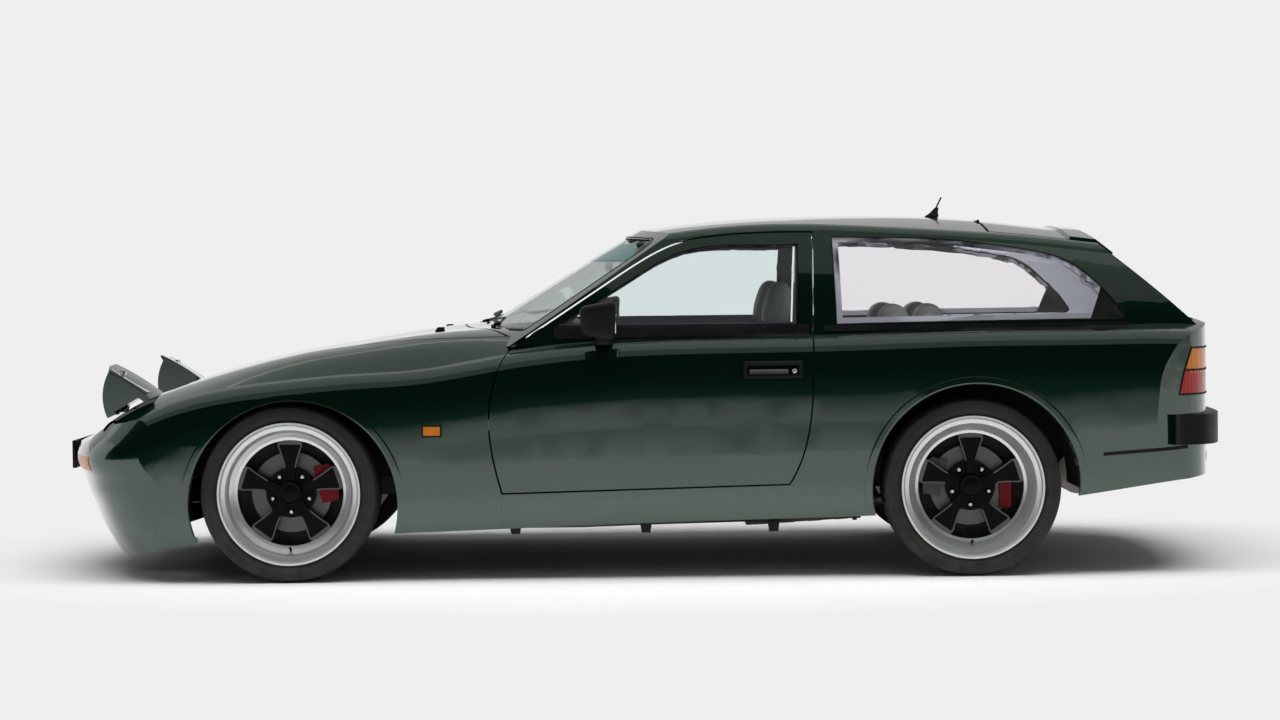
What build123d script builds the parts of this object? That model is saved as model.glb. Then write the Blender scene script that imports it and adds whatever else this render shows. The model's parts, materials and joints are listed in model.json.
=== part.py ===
from build123d import *
import math
import os

# Two-door sports coupe with an estate tail and pop-up lamps, in millimetres.
# +X runs to the tail, +Y to the car's right, +Z up; the origin is on the ground
# under the middle of the car's length.

# ---------------------------------------------------------------- driving sizes
NOSE_X = -2100.255
TAIL_X = 2062.0
BUMPER_TAIL_X = 2100.0
FRONT_AXLE_X = -1232.0
WHEELBASE = 2400.0
REAR_AXLE_X = FRONT_AXLE_X + WHEELBASE
DOOR_HALF_WIDTH = 834.0
FLARE = 33.0
FLARE_REACH = 330.0
SIDE_REACH = DOOR_HALF_WIDTH + 166.0

TYRE_RADIUS = 312.0
RIM_RADIUS = 251.0
FRONT_TYRE_WIDTH = 225.0
REAR_TYRE_WIDTH = 255.0
FRONT_TRACK_HALF = 738.0
REAR_TRACK_HALF = 726.0
FRONT_ARCH_ROOM = 55.0
REAR_ARCH_ROOM = 53.0
FRONT_ARCH_RADIUS = TYRE_RADIUS + FRONT_ARCH_ROOM
REAR_ARCH_RADIUS = TYRE_RADIUS + REAR_ARCH_ROOM
FRONT_ARCH = (FRONT_AXLE_X + 14, TYRE_RADIUS - 40)
REAR_ARCH = (REAR_AXLE_X + 13, TYRE_RADIUS - 3)

PANEL_GAP = 6.0
DOOR_REVEAL = 16.0
SCUTTLE_GAP = 3.0
PANEL_SKIN = 22.0
POST_DEPTH = 24.0
DOOR_WALL = 92.0
QUARTER_WALL = 60.0
FRAME_WALL = 34.0
OUTER_SKIN = 12.0
GLASS_INSET = 7.0
GLASS_FIT = 0.5
DOOR_INNER_Y = 640.0
QUARTER_INNER_Y = 600.0

AXLE_Z = TYRE_RADIUS
FLANGE = 13.0
BEAD_FIT = 0.4
SPOKES = 5
SPOKE_RADIUS = 187.0
SPOKE_FACE = 42.0
HUB_RADIUS = 88.0
HUB_BACK = -34.0
LUG_CIRCLE = 67.0
CAP_RADIUS = 41.0
DISC_RADIUS = 142.0
DISC_THICKNESS = 24.0
DISC_OUT = -4.0

POD_HINGE_X = -1722.0
POD_HINGE_Z = 653.0
POD_FRONT_X = -1902.0
POD_INNER_Y = 494.0
POD_OUTER_Y = 684.0
POD_SIDE = 6.0
POD_RADIUS = 186.0
POD_SLOPE = 24.0
POD_LIFT = 60.0
POD_PIN = 5.0
POD_PIN_FIT = 0.6
LAMP_RADIUS = 74.0
LAMP_Z = 668.0
LAMP_FACE_X = -1886.0
LAMP_DEPTH = 50.0
LAMP_DOME = 190.0
LENS_FIT = 0.5

LINER_GAP = 4.0
TURN_ROOM = 49.0
LINER_WALL = 12.0
INNER_WALL_Z = 430.0
BALL_JOINT_Y = 650.0
BALL_JOINT_Z = 200.0
STRUT_TOP_Y = 540.0
STRUT_TOP_Z = 716.0
HUB_FIT = 0.3
COLUMN_Y = -370.0
WHEEL_MIDDLE = (-150.0, -370.0, 735.0)
COLUMN_AXIS = (0.9063, 0.0, 0.4226)
STEERING_HUB_DEPTH = 20.0
COLUMN_FIT = 0.3
STEERING_RADIUS = 176.0
EXHAUST_Y = -500.0
EXHAUST_Z = 394.0
EXHAUST_RADIUS = 26.0
EXHAUST_END_X = 2042.0
LAMP_PROUD = 3.0
HANDLE_PROUD = 5.0

PAD_FRONT_X = 1877.0
PAD_HALF_Y = 856.0
PAD_LOW_Z = 452.0
PAD_TOP_Z = 558.0
SPOILER_HALF = 530.0
SPOILER_RISE = 9.0

DOOR_HINGE_X = -528.0
DOOR_HINGE_OUT = 1.0
DOOR_HINGE_Z = (528.0, 566.0)
BONNET_HINGE_X = -470.9
BONNET_HINGE_Z = 850.0
TAILGATE_HINGE_Z = 1252.0
HINGE_PIN = 2.3
TAILGATE_PIN = 5.3


# ---------------------------------------------------------------- outline curves
def curve(points, x):
    """Height of a smooth monotone curve through (x, height) points."""
    if x <= points[0][0]:
        return points[0][1]
    if x >= points[-1][0]:
        return points[-1][1]
    steps = [(b[1] - a[1]) / (b[0] - a[0]) for a, b in zip(points, points[1:])]
    slopes = [steps[0]]
    for before, after in zip(steps, steps[1:]):
        same_way = before * after > 0
        slopes.append(2 * before * after / (before + after) if same_way else 0.0)
    slopes.append(steps[-1])
    i = next(k for k in range(len(steps)) if x <= points[k + 1][0])
    (x0, h0), (x1, h1) = points[i], points[i + 1]
    run = x1 - x0
    s = (x - x0) / run
    return (
        h0 * (1 + 2 * s) * (1 - s) ** 2
        + h1 * s * s * (3 - 2 * s)
        + slopes[i] * run * s * (1 - s) ** 2
        + slopes[i + 1] * run * s * s * (s - 1)
    )


CENTRE_TOP = [(-2150, 455), (-2040, 507), (-1900, 575), (-1587, 715), (-1246, 796), (-905, 850),
              (-560, 897), (0, 900), (1500, 905), (1900, 908), (2150, 904)]
DECK_EDGE = [(-2150, 430), (-1893, 548), (-1722, 640), (-1561, 692), (-1205, 775), (-921, 812),
             (-600, 843), (-300, 852), (1270, 866), (1900, 880), (2150, 868)]
SHOULDER = [(-2150, 400), (-1893, 517), (-1700, 622), (-1401, 693), (-1050, 727), (-700, 750),
            (-487, 790), (5, 836), (700, 846), (1270, 859), (1900, 858), (2150, 840)]
SILL_LINE = [(-2150, 60), (-1750, 80), (-1585, 150), (-820, 168), (5, 194), (850, 214), (1500, 268),
             (1700, 300), (2150, 360)]
ROOF_CENTRE = [(-650, 1180), (5, 1233), (232, 1261), (573, 1276), (800, 1278), (1028, 1273),
               (1312, 1252), (1640, 1218), (2100, 1150)]
ROOF_RAIL = [(-650, 1165), (41, 1206), (292, 1237), (652, 1241), (1047, 1221), (1350, 1198),
             (1640, 1166), (2100, 1095)]
RAIL_INSET = [(-650, 234), (300, 256), (1000, 262), (1640, 278), (2100, 304)]
BELT_INSET = [(-650, 92), (-300, 94), (700, 94), (1400, 106), (2100, 144)]

NOSE_LEAN = [(40, 190), (127, 128), (182, 96), (275, 58), (330, 36), (386, 18), (430, 0), (468, 10),
             (505, 40), (540, 66), (580, 106), (640, 190), (700, 300), (1000, 850)]
NOSE_PLAN = [(0, 0)] + [(DOOR_HALF_WIDTH - inset, back) for inset, back in (
    (584, 20), (384, 56), (234, 100), (114, 160), (44, 236), (-6, 380))]
TAIL_PLAN = [(0, 0)] + [(DOOR_HALF_WIDTH - inset, back) for inset, back in (
    (334, 18), (184, 42), (84, 84), (29, 150), (-6, 250))]
TAIL_CREST = [(TAIL_X, 790), (TAIL_X - 6, 826), (TAIL_X - 24, 858), (TAIL_X - 58, 886), (TAIL_X - 104, 909)]
SCREEN_CENTRE = [(820, -690), (877, -602), (937, -507), (1000, -393), (1064, -279), (1135, -166),
                 (1232, 5), (1400, 320)]
SCREEN_SWEEP = 0.00043
REAR_GLASS_CENTRE = [(820, 2092), (904, 2003), (1016, 1874), (1102, 1766), (1168, 1684),
                     (1400, 1400)]
REAR_GLASS_SWEEP = 0.00012


def half_width(x):
    """Greatest half width of the body at station x, with its two flares."""
    bulge = max(math.exp(-(((x - axle) / FLARE_REACH) ** 2)) for axle in (FRONT_AXLE_X, REAR_AXLE_X))
    return DOOR_HALF_WIDTH + FLARE * bulge


# ---------------------------------------------------------------- outlines
def outline(stretches, place):
    """Face from joined stretches of (a, b) points, each smooth; place maps them to space."""
    edges = []
    for points in stretches:
        spots = [Vector(*place(a, b)) for a, b in points]
        edges.append(Edge.make_spline(spots) if len(spots) > 2 else Edge.make_line(*spots))
    return Face(Wire(edges))


def polygon(points, place):
    """Face with straight sides."""
    return Face(Wire.make_polygon([Vector(*place(a, b)) for a, b in points]))


def from_side(a, b):
    return (a, 0.0, b)


def from_above(a, b):
    return (a, b, 0.0)


def from_front(a, b):
    return (0.0, a, b)


def grown(stretches, amount):
    """Outline stretches moved outward by an amount, or inward when it is negative."""
    corners = [p for points in stretches for p in points[:-1]]
    turns = zip(corners, corners[1:] + corners[:1])
    winding = 1 if sum(p[0] * q[1] - q[0] * p[1] for p, q in turns) > 0 else -1
    moved = []
    for points in stretches:
        spots = [Vector(a, b) for a, b in points]
        edge = Edge.make_spline(spots) if len(spots) > 2 else Edge.make_line(*spots)
        shares = [i / 8 for i in range(9)] if len(spots) > 2 else [0, 1]
        row = []
        for share in shares:
            spot, along = edge @ share, edge % share
            out = Vector(along.Y, -along.X) * winding
            row.append((spot + out * amount, along))
        moved.append(row)
    for here, after in zip(moved, moved[1:] + moved[:1]):
        (end, along), (start, onward) = here[-1], after[0]
        cross = along.X * onward.Y - along.Y * onward.X
        joint = (end + start) * 0.5
        if abs(cross) > 0.03:
            gap = start - end
            joint = end + along * ((gap.X * onward.Y - gap.Y * onward.X) / cross)
        here[-1] = (joint, along)
        after[0] = (joint, onward)
    return [[(spot.X, spot.Y) for spot, _ in row] for row in moved]


def side_block(face, side, inner=600.0, outer=SIDE_REACH):
    """Block with a side-view outline, between two distances from the centre plane."""
    return extrude(face.moved(Location((0, side * inner, 0))), amount=outer - inner, dir=(0, side, 0))


def drawn_across(face):
    """Block with a side-view outline, right across the car."""
    return extrude(face.moved(Location((0, -SIDE_REACH, 0))), amount=2 * SIDE_REACH, dir=(0, 1, 0))


def top_block(face, low=0.0, high=1500.0):
    """Block with a plan outline."""
    return extrude(face.moved(Location((0, 0, low))), amount=high - low, dir=(0, 0, 1))


def front_block(face, start, end):
    """Block with a front-view outline."""
    return extrude(face.moved(Location((start, 0, 0))), amount=end - start, dir=(1, 0, 0))


def box(x0, x1, y0, y1, z0, z1):
    """Box between two corners."""
    size = (abs(x1 - x0), abs(y1 - y0), abs(z1 - z0))
    middle = ((x0 + x1) / 2, (y0 + y1) / 2, (z0 + z1) / 2)
    return Pos(*middle) * Box(*size)


def rod(start, end, radius):
    """Round bar between two points."""
    axis = Vector(*end) - Vector(*start)
    plane = Plane(origin=start, z_dir=axis)
    return Solid.make_cylinder(radius, axis.length, plane)


def disc(x, y0, y1, z, radius):
    """Round block lying along Y."""
    return rod((x, y0, z), (x, y1, z), radius)


# ---------------------------------------------------------------- body surfaces
def section_wire(x, edges):
    """Closed section at station x from lists of (y, z) points, one smooth edge each."""
    made = []
    for points in edges:
        spots = [Vector(x, y, z) for y, z in points]
        made.append(Edge.make_spline(spots) if len(spots) > 2 else Edge.make_line(*spots))
    return Wire(made)


def lower_section(x, inset):
    """Body section below the glass, set in by a wall thickness."""
    wide = half_width(x) - inset
    sill = curve(SILL_LINE, x)
    shoulder = curve(SHOULDER, x) - 0.6 * inset
    deck = curve(DECK_EDGE, x) - inset
    top = curve(CENTRE_TOP, x) - inset
    middle = sill + 0.52 * (shoulder - sill)
    under = sill - 0.2 * inset
    side = [(wide - 40, under), (wide - 13, sill + 70), (wide, middle),
            (wide - 6, shoulder - 130), (wide - 20, shoulder - 52)]
    turn = [side[-1], (wide - 40, shoulder - 22), (wide - 78, shoulder)]
    lid = [turn[-1], (wide - 170, deck), (wide - 440, deck + 0.72 * (top - deck)), (0, top)]
    mirror = [[(-y, z) for y, z in reversed(e)] for e in (lid, turn, side)]
    lid_whole = lid + mirror[0][1:]
    floor = [mirror[2][-1], side[0]]
    return section_wire(x, [side, turn, lid_whole, mirror[1], mirror[2], floor])


def upper_section(x, inset):
    """Section of the glasshouse, from inside the shoulders to the roof."""
    belt = DOOR_HALF_WIDTH - curve(BELT_INSET, x) - inset
    rail = DOOR_HALF_WIDTH - curve(RAIL_INSET, x) - 0.8 * inset
    rail_z = curve(ROOF_RAIL, x) - inset
    roof = curve(ROOF_CENTRE, x) - inset
    side = [(belt + 6, 800), (belt - 20, 900), (0.5 * (belt + rail) + 12, 0.5 * (900 + rail_z)),
            (rail + 30, rail_z - 34)]
    turn = [side[-1], (rail + 18, rail_z - 14), (rail - 6, rail_z)]
    roof_half = [turn[-1], (0.55 * rail, rail_z + 0.66 * (roof - rail_z))]
    mirror = [[(-y, z) for y, z in reversed(e)] for e in (roof_half, turn, side)]
    whole = roof_half + [(0, roof)] + mirror[0]
    floor = [mirror[2][-1], side[0]]
    return section_wire(x, [side, turn, whole, mirror[1], mirror[2], floor])


LOWER_STATIONS = [-2150, -1900, -1650, -1440, -1232, -1020, -780, -480, 0, 500, 800, 980, 1168, 1360,
                  1600, 1900, 2150]
UPPER_STATIONS = [-650, -250, 40, 320, 700, 1050, 1350, 1650, 2100]


def nose_block(inset):
    """Solid behind the nose's swept-back face, lofted through plan outlines up the car."""
    wires = []
    for z in range(40, 1001, 48):
        front = NOSE_X + curve(NOSE_LEAN, z) + inset
        right = [Vector(front + back, y, z) for y, back in NOSE_PLAN]
        left = [Vector(spot.X, -spot.Y, z) for spot in reversed(right)]
        shoulders = [Vector(front + 3 * NOSE_PLAN[-1][1], side * (SIDE_REACH + 100), z) for side in (1, -1)]
        ends = [Vector(-NOSE_X + 300, side * (SIDE_REACH + 100), z) for side in (1, -1)]
        ring = [right[-1], shoulders[0], ends[0], ends[1], shoulders[1], left[0]]
        straight = [Edge.make_line(start, end) for start, end in zip(ring, ring[1:])]
        wires.append(Wire([Edge.make_spline(left[:-1] + right)] + straight))
    return Solid.make_loft(wires)


def tail_block(inset):
    """Solid ahead of the tail: its plan outline, crossed with the roll of its top edge."""
    right = [(TAIL_X - inset - back, y) for y, back in TAIL_PLAN] + [(TAIL_X - 500, SIDE_REACH)]
    left = [(x, -y) for x, y in reversed(right)]
    corners = [right[-1], (NOSE_X - 300, SIDE_REACH), (NOSE_X - 300, -SIDE_REACH), left[0]]
    plan = outline([left[:-1] + right] + [list(pair) for pair in zip(corners, corners[1:])], from_above)
    crest = [(x - inset, z - inset) for x, z in TAIL_CREST]
    over = [crest[-1], (TAIL_X - 500, 1000), (NOSE_X - 300, 1000), (NOSE_X - 300, -100), (crest[0][0], -100),
            crest[0]]
    side = outline([crest] + [[start, end] for start, end in zip(over, over[1:])], from_side)
    return top_block(plan, -50, 1100) & drawn_across(side)


def glass_block(levels, centre, sweep, way, inset):
    """Solid behind a raked screen whose plan curve sweeps back to the pillars."""
    wires = []
    for z in levels:
        x0 = curve(centre, z) + way * inset
        wide = SIDE_REACH - 100
        face = [Vector(x0 + way * sweep * y * y, y, z) for y in (-wide, -500, 0, 500, wide)]
        ring = [face[-1], Vector(x0 + way * 4000, wide, z), Vector(x0 + way * 4000, -wide, z), face[0]]
        straight = [Edge.make_line(start, end) for start, end in zip(ring, ring[1:])]
        wires.append(Wire([Edge.make_spline(face)] + straight))
    return Solid.make_loft(wires)


def lower_hull(inset):
    """Lower body without its nose and tail faces, for the panels between the axles."""
    return Solid.make_loft([lower_section(x, inset) for x in LOWER_STATIONS])


def lower_body(inset=0.0):
    """Solid body below the glass, shrunk by a wall thickness."""
    return lower_hull(inset) & nose_block(inset) & tail_block(inset)


def upper_body(inset=0.0):
    """Solid glasshouse, shrunk by a wall thickness."""
    hull = Solid.make_loft([upper_section(x, inset) for x in UPPER_STATIONS])
    screen = glass_block((820, 1000, 1135, 1400), SCREEN_CENTRE, SCREEN_SWEEP, 1, inset * 1.6)
    rear = glass_block((820, 1000, 1168, 1400), REAR_GLASS_CENTRE, REAR_GLASS_SWEEP, -1, inset * 1.4)
    return hull & screen & rear


WHOLE = {wall: lower_body(wall) for wall in (0, PANEL_SKIN)}
HULL = {wall: lower_hull(wall) for wall in (0, OUTER_SKIN, PANEL_SKIN, POST_DEPTH, QUARTER_WALL,
                                            DOOR_WALL)}
UPPER = {wall: upper_body(wall) for wall in (0, GLASS_INSET, OUTER_SKIN, FRAME_WALL)}


def layer(family, start, end, block):
    """Part of a body's wall between two depths that lies inside a block."""
    return (family[start] & block) - family[end]


# ---------------------------------------------------------------- panel outlines
DOOR_LEAD = [(-388, 859), (-470, 793), (-514, 691), (-531, 540), (-516, 420), (-486, 302)]
DOOR_FOOT = [(-486, 302), (527, 325)]
DOOR_TRAIL = [(527, 325), (590, 473), (614, 666), (620, 860)]
DOOR_TAIL_POST = [(620, 860), (627, 1218)]
DOOR_HEAD = [(627, 1218), (432, 1217), (289, 1208), (147, 1184), (40, 1136), (-138, 1023)]
DOOR_PILLAR = [(-138, 1023), (-388, 859)]
DOOR_LIGHT = [[(-300, 886), (-137, 984), (5, 1072)], [(5, 1072), (76, 1114), (147, 1146), (217, 1163),
              (359, 1172), (572, 1173)], [(572, 1173), (562, 886)], [(562, 886), (-300, 886)]]
QUARTER_LIGHT = [[(690, 1197), (927, 1193), (1139, 1181), (1281, 1163), (1423, 1140), (1494, 1122)],
                 [(1494, 1122), (1565, 1085), (1640, 1020), (1720, 925)],
                 [(1720, 925), (1729, 903), (1712, 893)], [(1712, 893), (1281, 890), (700, 884)],
                 [(700, 884), (690, 1197)]]


DOOR = [DOOR_LEAD, DOOR_FOOT, DOOR_TRAIL, DOOR_TAIL_POST, DOOR_HEAD, DOOR_PILLAR]
SCREEN = [[(-672, 872), (672, 872)], [(672, 872), (640, 1000), (585, 1150)],
          [(585, 1150), (540, 1184), (470, 1194)],
          [(470, 1194), (0, 1203), (-470, 1194)], [(-470, 1194), (-540, 1184), (-585, 1150)],
          [(-585, 1150), (-640, 1000), (-672, 872)]]
ROOF_SEAM = 545.0
TAILGATE_LEAD = 1262.0
TAILGATE = [[(TAILGATE_LEAD, -538), (TAILGATE_LEAD, 538)], [(TAILGATE_LEAD, 538), (1640, 546),
            (1990, 592)], [(1990, 592), (1990, -592)], [(1990, -592), (1640, -546),
            (TAILGATE_LEAD, -538)]]
TAILGATE_LIGHT = [[(1712, -500), (1712, 500)], [(1712, 500), (1955, 540)], [(1955, 540),
                  (1955, -540)], [(1955, -540), (1712, -500)]]
BONNET_FRONT = -1915.0
BONNET_REAR = [(-462, 655), (-592, 380), (-648, 0), (-592, -380), (-462, -655)]
BONNET_SIDE = [(BONNET_FRONT, 436), (-1720, 472), (-1300, 560), (-700, 638), BONNET_REAR[0]]
BONNET = [[(BONNET_FRONT, -436), BONNET_SIDE[0]], BONNET_SIDE, BONNET_REAR,
          [(x, -y) for x, y in reversed(BONNET_SIDE)]]
SCUTTLE_REAR_X = -396.0
SCUTTLE = [BONNET_REAR, [BONNET_REAR[-1], (SCUTTLE_REAR_X, -655)],
           [(SCUTTLE_REAR_X, -655), (SCUTTLE_REAR_X, 655)], [(SCUTTLE_REAR_X, 655), BONNET_REAR[0]]]
BUMPER_SEAM = [(-2300, 900), (-1925, 900), (-1925, 545), (-1895, 517), (-1832, 476), (-1684, 482),
               (-1500, 486), (-1500, 160), (-2300, 160)]
CHIN = [(-2300, 159.6), (-1560, 159.6), (-1560, 20), (-2300, 20)]
LAMP = [(1896, 628.4), (1916, 712), (1945, 792), (2200, 792), (2200, 628.4)]
LAMP_INNER_Y = 470.0
REAR_BUMPER = [(1848, 446), (1896, 628), (2200, 628), (2200, 446)]
VALANCE = [(1500, 150), (1500, 360), (1608, 408), (1700, 432), (1848, 445.6), (2200, 445.6), (2200, 150)]
TAIL_TOP_X = 1990.0
SILL_SEAM_X = -486.0
PLATFORM_Z = 176.0


def both_sides(left):
    """The left piece and its mirror image."""
    return left, left.mirror(Plane.XZ)


def arch(place, radius, inner, outer, side=-1):
    """Cylinder of a wheel opening."""
    return disc(place[0], side * inner, side * outer, place[1], radius)


def door_leaf():
    """Left door: outer skin, inset core and window frame."""
    edge = grown(DOOR, -PANEL_GAP)
    core_edge = grown(DOOR, -PANEL_GAP - DOOR_REVEAL)
    light = outline(DOOR_LIGHT, from_side)
    skin = layer(HULL, 0, OUTER_SKIN, side_block(outline(edge, from_side), -1, DOOR_INNER_Y))
    core = layer(HULL, OUTER_SKIN, DOOR_WALL, side_block(outline(core_edge, from_side), -1, DOOR_INNER_Y))
    ring = side_block(outline(edge, from_side) - light, -1, 400)
    core_ring = side_block(outline(core_edge, from_side) - light, -1, 400)
    frame = layer(UPPER, 0, OUTER_SKIN, ring) + layer(UPPER, OUTER_SKIN, FRAME_WALL, core_ring)
    return skin + core + frame


def pane(stretches, place, block_of):
    """Curved glass filling a window opening."""
    return layer(UPPER, GLASS_INSET, OUTER_SKIN, block_of(outline(grown(stretches, -GLASS_FIT), place)))


def door_hinge():
    """Left door's hinge: strap from the post and pin in the shut line."""
    low, high = DOOR_HINGE_Z
    outer = -DOOR_HALF_WIDTH - DOOR_HINGE_OUT
    strap = box(DOOR_HINGE_X - HINGE_PIN, DOOR_HINGE_X + 2, outer, 34 - DOOR_HALF_WIDTH, low, high)
    foot = box(DOOR_HINGE_X - 32, DOOR_HINGE_X + 2, 28 - DOOR_HALF_WIDTH, 54 - DOOR_HALF_WIDTH, low, high)
    return strap + foot + rod((DOOR_HINGE_X, outer, low), (DOOR_HINGE_X, outer, high), HINGE_PIN)


def side_panel():
    """Left body side: sill, hinge post, quarter, rail and pillars in one pressing."""
    door = side_block(outline(DOOR, from_side), -1, 300)
    away = side_block(polygon(VALANCE, from_side), -1, 300)
    away += side_block(polygon(REAR_BUMPER, from_side), -1, 300)
    away += side_block(polygon(LAMP, from_side), -1, 300)
    away += arch(REAR_ARCH, REAR_ARCH_RADIUS, 300, SIDE_REACH)
    block = box(SILL_SEAM_X, TAIL_TOP_X, -QUARTER_INNER_Y, -SIDE_REACH, 100, 950)
    lower = (layer(HULL, 0, QUARTER_WALL, block) & WHOLE[0]) - box(SILL_SEAM_X - 1, -350, -300, -SIDE_REACH, 330, 950)
    post = layer(HULL, POST_DEPTH, DOOR_WALL, box(-638, SILL_SEAM_X + 60, -700, -SIDE_REACH, 190.2, 800))
    lower = lower + post - away - door
    rails = layer(UPPER, 0, FRAME_WALL, box(-700, TAIL_TOP_X, -ROOF_SEAM, -SIDE_REACH, 800, 1400))
    rails -= side_block(outline(QUARTER_LIGHT, from_side), -1, 300)
    rails -= front_block(outline(SCREEN, from_front), -700, 250)
    rails -= top_block(outline(TAILGATE, from_above))
    rails = rails - door - WHOLE[0]
    return lower + rails + door_hinge()


def roof_panel():
    """Fixed roof skin between the rails, header to tailgate."""
    block = box(-400, TAILGATE_LEAD - PANEL_GAP, -ROOF_SEAM, ROOF_SEAM, 1100, 1400)
    panel = layer(UPPER, 0, FRAME_WALL, block) - front_block(outline(SCREEN, from_front), -700, 250)
    for side in (-1, 1):
        inner, outer = side * 170, side * 230
        ends = [(TAILGATE_LEAD, y, TAILGATE_HINGE_Z) for y in (inner, outer)]
        panel += rod(*ends, TAILGATE_PIN)
        panel += box(TAILGATE_LEAD - 14, TAILGATE_LEAD, inner, outer, TAILGATE_HINGE_Z - 14, TAILGATE_HINGE_Z)
    return panel


def tailgate_frame():
    """Tailgate: roof end, sides and lower bar around the back glass."""
    edge = top_block(outline(grown(TAILGATE, -PANEL_GAP), from_above), 860, 1400)
    frame = layer(UPPER, 0, FRAME_WALL, edge) - top_block(outline(TAILGATE_LIGHT, from_above))
    return frame - WHOLE[0]


def front_wing():
    """Left front wing with its wheel opening and pop-up lamp opening."""
    block = box(BONNET_FRONT - 200, -380, -300, -SIDE_REACH, 60, 900)
    block -= top_block(outline(BONNET, from_above))
    block -= top_block(outline(SCUTTLE, from_above))
    block -= box(SILL_SEAM_X - 0.4, 0, -300, -SIDE_REACH, 0, 310)
    block -= box(-2300, -1560, -300, -SIDE_REACH, 20, 161)
    block -= side_block(outline(DOOR, from_side), -1, 300)
    block -= side_block(polygon(BUMPER_SEAM, from_side), -1, 200)
    wing = layer(WHOLE, 0, PANEL_SKIN, block) - arch(FRONT_ARCH, FRONT_ARCH_RADIUS, 300, SIDE_REACH)
    pin_end = -POD_INNER_Y + POD_PIN_FIT
    pin = rod((POD_HINGE_X, pin_end + 24, POD_HINGE_Z), (POD_HINGE_X, pin_end, POD_HINGE_Z), POD_PIN)
    return wing - pod_opening() - UPPER[0] + pin


def bonnet():
    """Bonnet skin, hinged along its rear edge."""
    return layer(WHOLE, 0, PANEL_SKIN, top_block(outline(grown(BONNET, -PANEL_GAP), from_above), 400, 1000))


def scuttle():
    """Scuttle panel under the wipers, between bonnet and windscreen."""
    edge = outline(grown(SCUTTLE, -SCUTTLE_GAP), from_above)
    panel = layer(HULL, 0, PANEL_SKIN, top_block(edge, 700, 1000)) - UPPER[0]
    for side in (-1, 1):
        ends = [(BONNET_HINGE_X, side * y, BONNET_HINGE_Z) for y in (630, 650)]
        panel += rod(*ends, HINGE_PIN)
    return panel


def front_bumper():
    """Body-coloured bumper cover round the nose."""
    cover = layer(WHOLE, 0, PANEL_SKIN, drawn_across(polygon(BUMPER_SEAM, from_side)))
    for side in (-1, 1):
        cover -= arch(FRONT_ARCH, FRONT_ARCH_RADIUS, 300, SIDE_REACH, side)
        cover -= pod_opening(side)
    return cover


# ---------------------------------------------------------------- nose and tail pieces
def pod_outline(margin=0.0):
    """Plan of the pop-up lamp lid."""
    front, rear = POD_FRONT_X - margin, POD_HINGE_X + margin
    outer, inner = -POD_OUTER_Y - margin, -POD_INNER_Y + margin
    return polygon([(front, outer), (rear, outer), (rear, inner), (front, inner)], from_above)


def pod_opening(side=-1):
    """Hole in the skin over the pop-up lamp."""
    hole = top_block(pod_outline(PANEL_GAP), 530, 760)
    return hole if side < 0 else hole.mirror(Plane.XZ)


def raised(piece):
    """Turn a pop-up lamp piece from closed to raised."""
    return piece.rotate(Axis((POD_HINGE_X, 0, POD_HINGE_Z), (0, 1, 0)), POD_LIFT)


def pod_sector(radius, start, end):
    """Wedge about the lamp hinge, from one angle below the horizon to another."""
    spots = []
    for i in range(7):
        angle = math.radians(start + (end - start) * i / 6)
        spots.append((POD_HINGE_X - radius * math.cos(angle), POD_HINGE_Z - radius * math.sin(angle)))
    hinge = (POD_HINGE_X, POD_HINGE_Z)
    edge = outline([[hinge, spots[0]], spots, [spots[-1], hinge]], from_side)
    return side_block(edge, -1, POD_INNER_Y + POD_SIDE, POD_OUTER_Y - POD_SIDE)


def lamp_rod(front, back, radius):
    """Round block on the axis of the left raised lamp."""
    middle = (POD_INNER_Y + POD_OUTER_Y) / 2
    return rod((front, -middle, LAMP_Z), (back, -middle, LAMP_Z), radius)


def lamp_pod():
    """Left pop-up lamp: painted lid and black housing, raised, with a round recess."""
    lid = layer(WHOLE, 0, PANEL_SKIN, top_block(pod_outline(), 556, 760))
    housing = pod_sector(POD_RADIUS, POD_SLOPE + 4, POD_SLOPE + POD_LIFT)
    housing -= box(POD_HINGE_X - 26, 0, 0, -SIDE_REACH, 500, 800)
    recess = lamp_rod(LAMP_FACE_X - 80, LAMP_FACE_X + LAMP_DEPTH, LAMP_RADIUS + LENS_FIT)
    return raised(lid + housing) - recess


def lamp_lens():
    """Domed round glass of the left raised lamp."""
    body = lamp_rod(LAMP_FACE_X, LAMP_FACE_X + LAMP_DEPTH, LAMP_RADIUS)
    dome = Pos(LAMP_FACE_X + LAMP_DOME, -(POD_INNER_Y + POD_OUTER_Y) / 2, LAMP_Z) * Sphere(LAMP_DOME)
    return body & dome


def chin_spoiler():
    """Black lip under the nose."""
    return layer(WHOLE, 0, PANEL_SKIN, drawn_across(polygon(CHIN, from_side)))


def rear_bumper():
    """Body-coloured band between lamps and valance, right across the tail."""
    return layer(WHOLE, 0, PANEL_SKIN, drawn_across(polygon(REAR_BUMPER, from_side)))


def bumper_pads():
    """Black impact band standing proud of the rear bumper."""
    right = [(BUMPER_TAIL_X - 0.86 * back, y) for y, back in TAIL_PLAN] + [(PAD_FRONT_X, PAD_HALF_Y)]
    left = [(x, -y) for x, y in reversed(right)]
    face = outline([left[:-1] + right, [right[-1], (PAD_FRONT_X, 300)], [(PAD_FRONT_X, 300),
                    (PAD_FRONT_X, -300)], [(PAD_FRONT_X, -300), left[0]]], from_above)
    return top_block(face, PAD_LOW_Z, PAD_TOP_Z) - WHOLE[0]


def rear_valance():
    """Body-coloured valance under the tail."""
    cover = layer(WHOLE, 0, PANEL_SKIN, drawn_across(polygon(VALANCE, from_side)))
    for side in (-1, 1):
        cover -= arch(REAR_ARCH, REAR_ARCH_RADIUS, 300, SIDE_REACH, side)
    return cover


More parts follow.
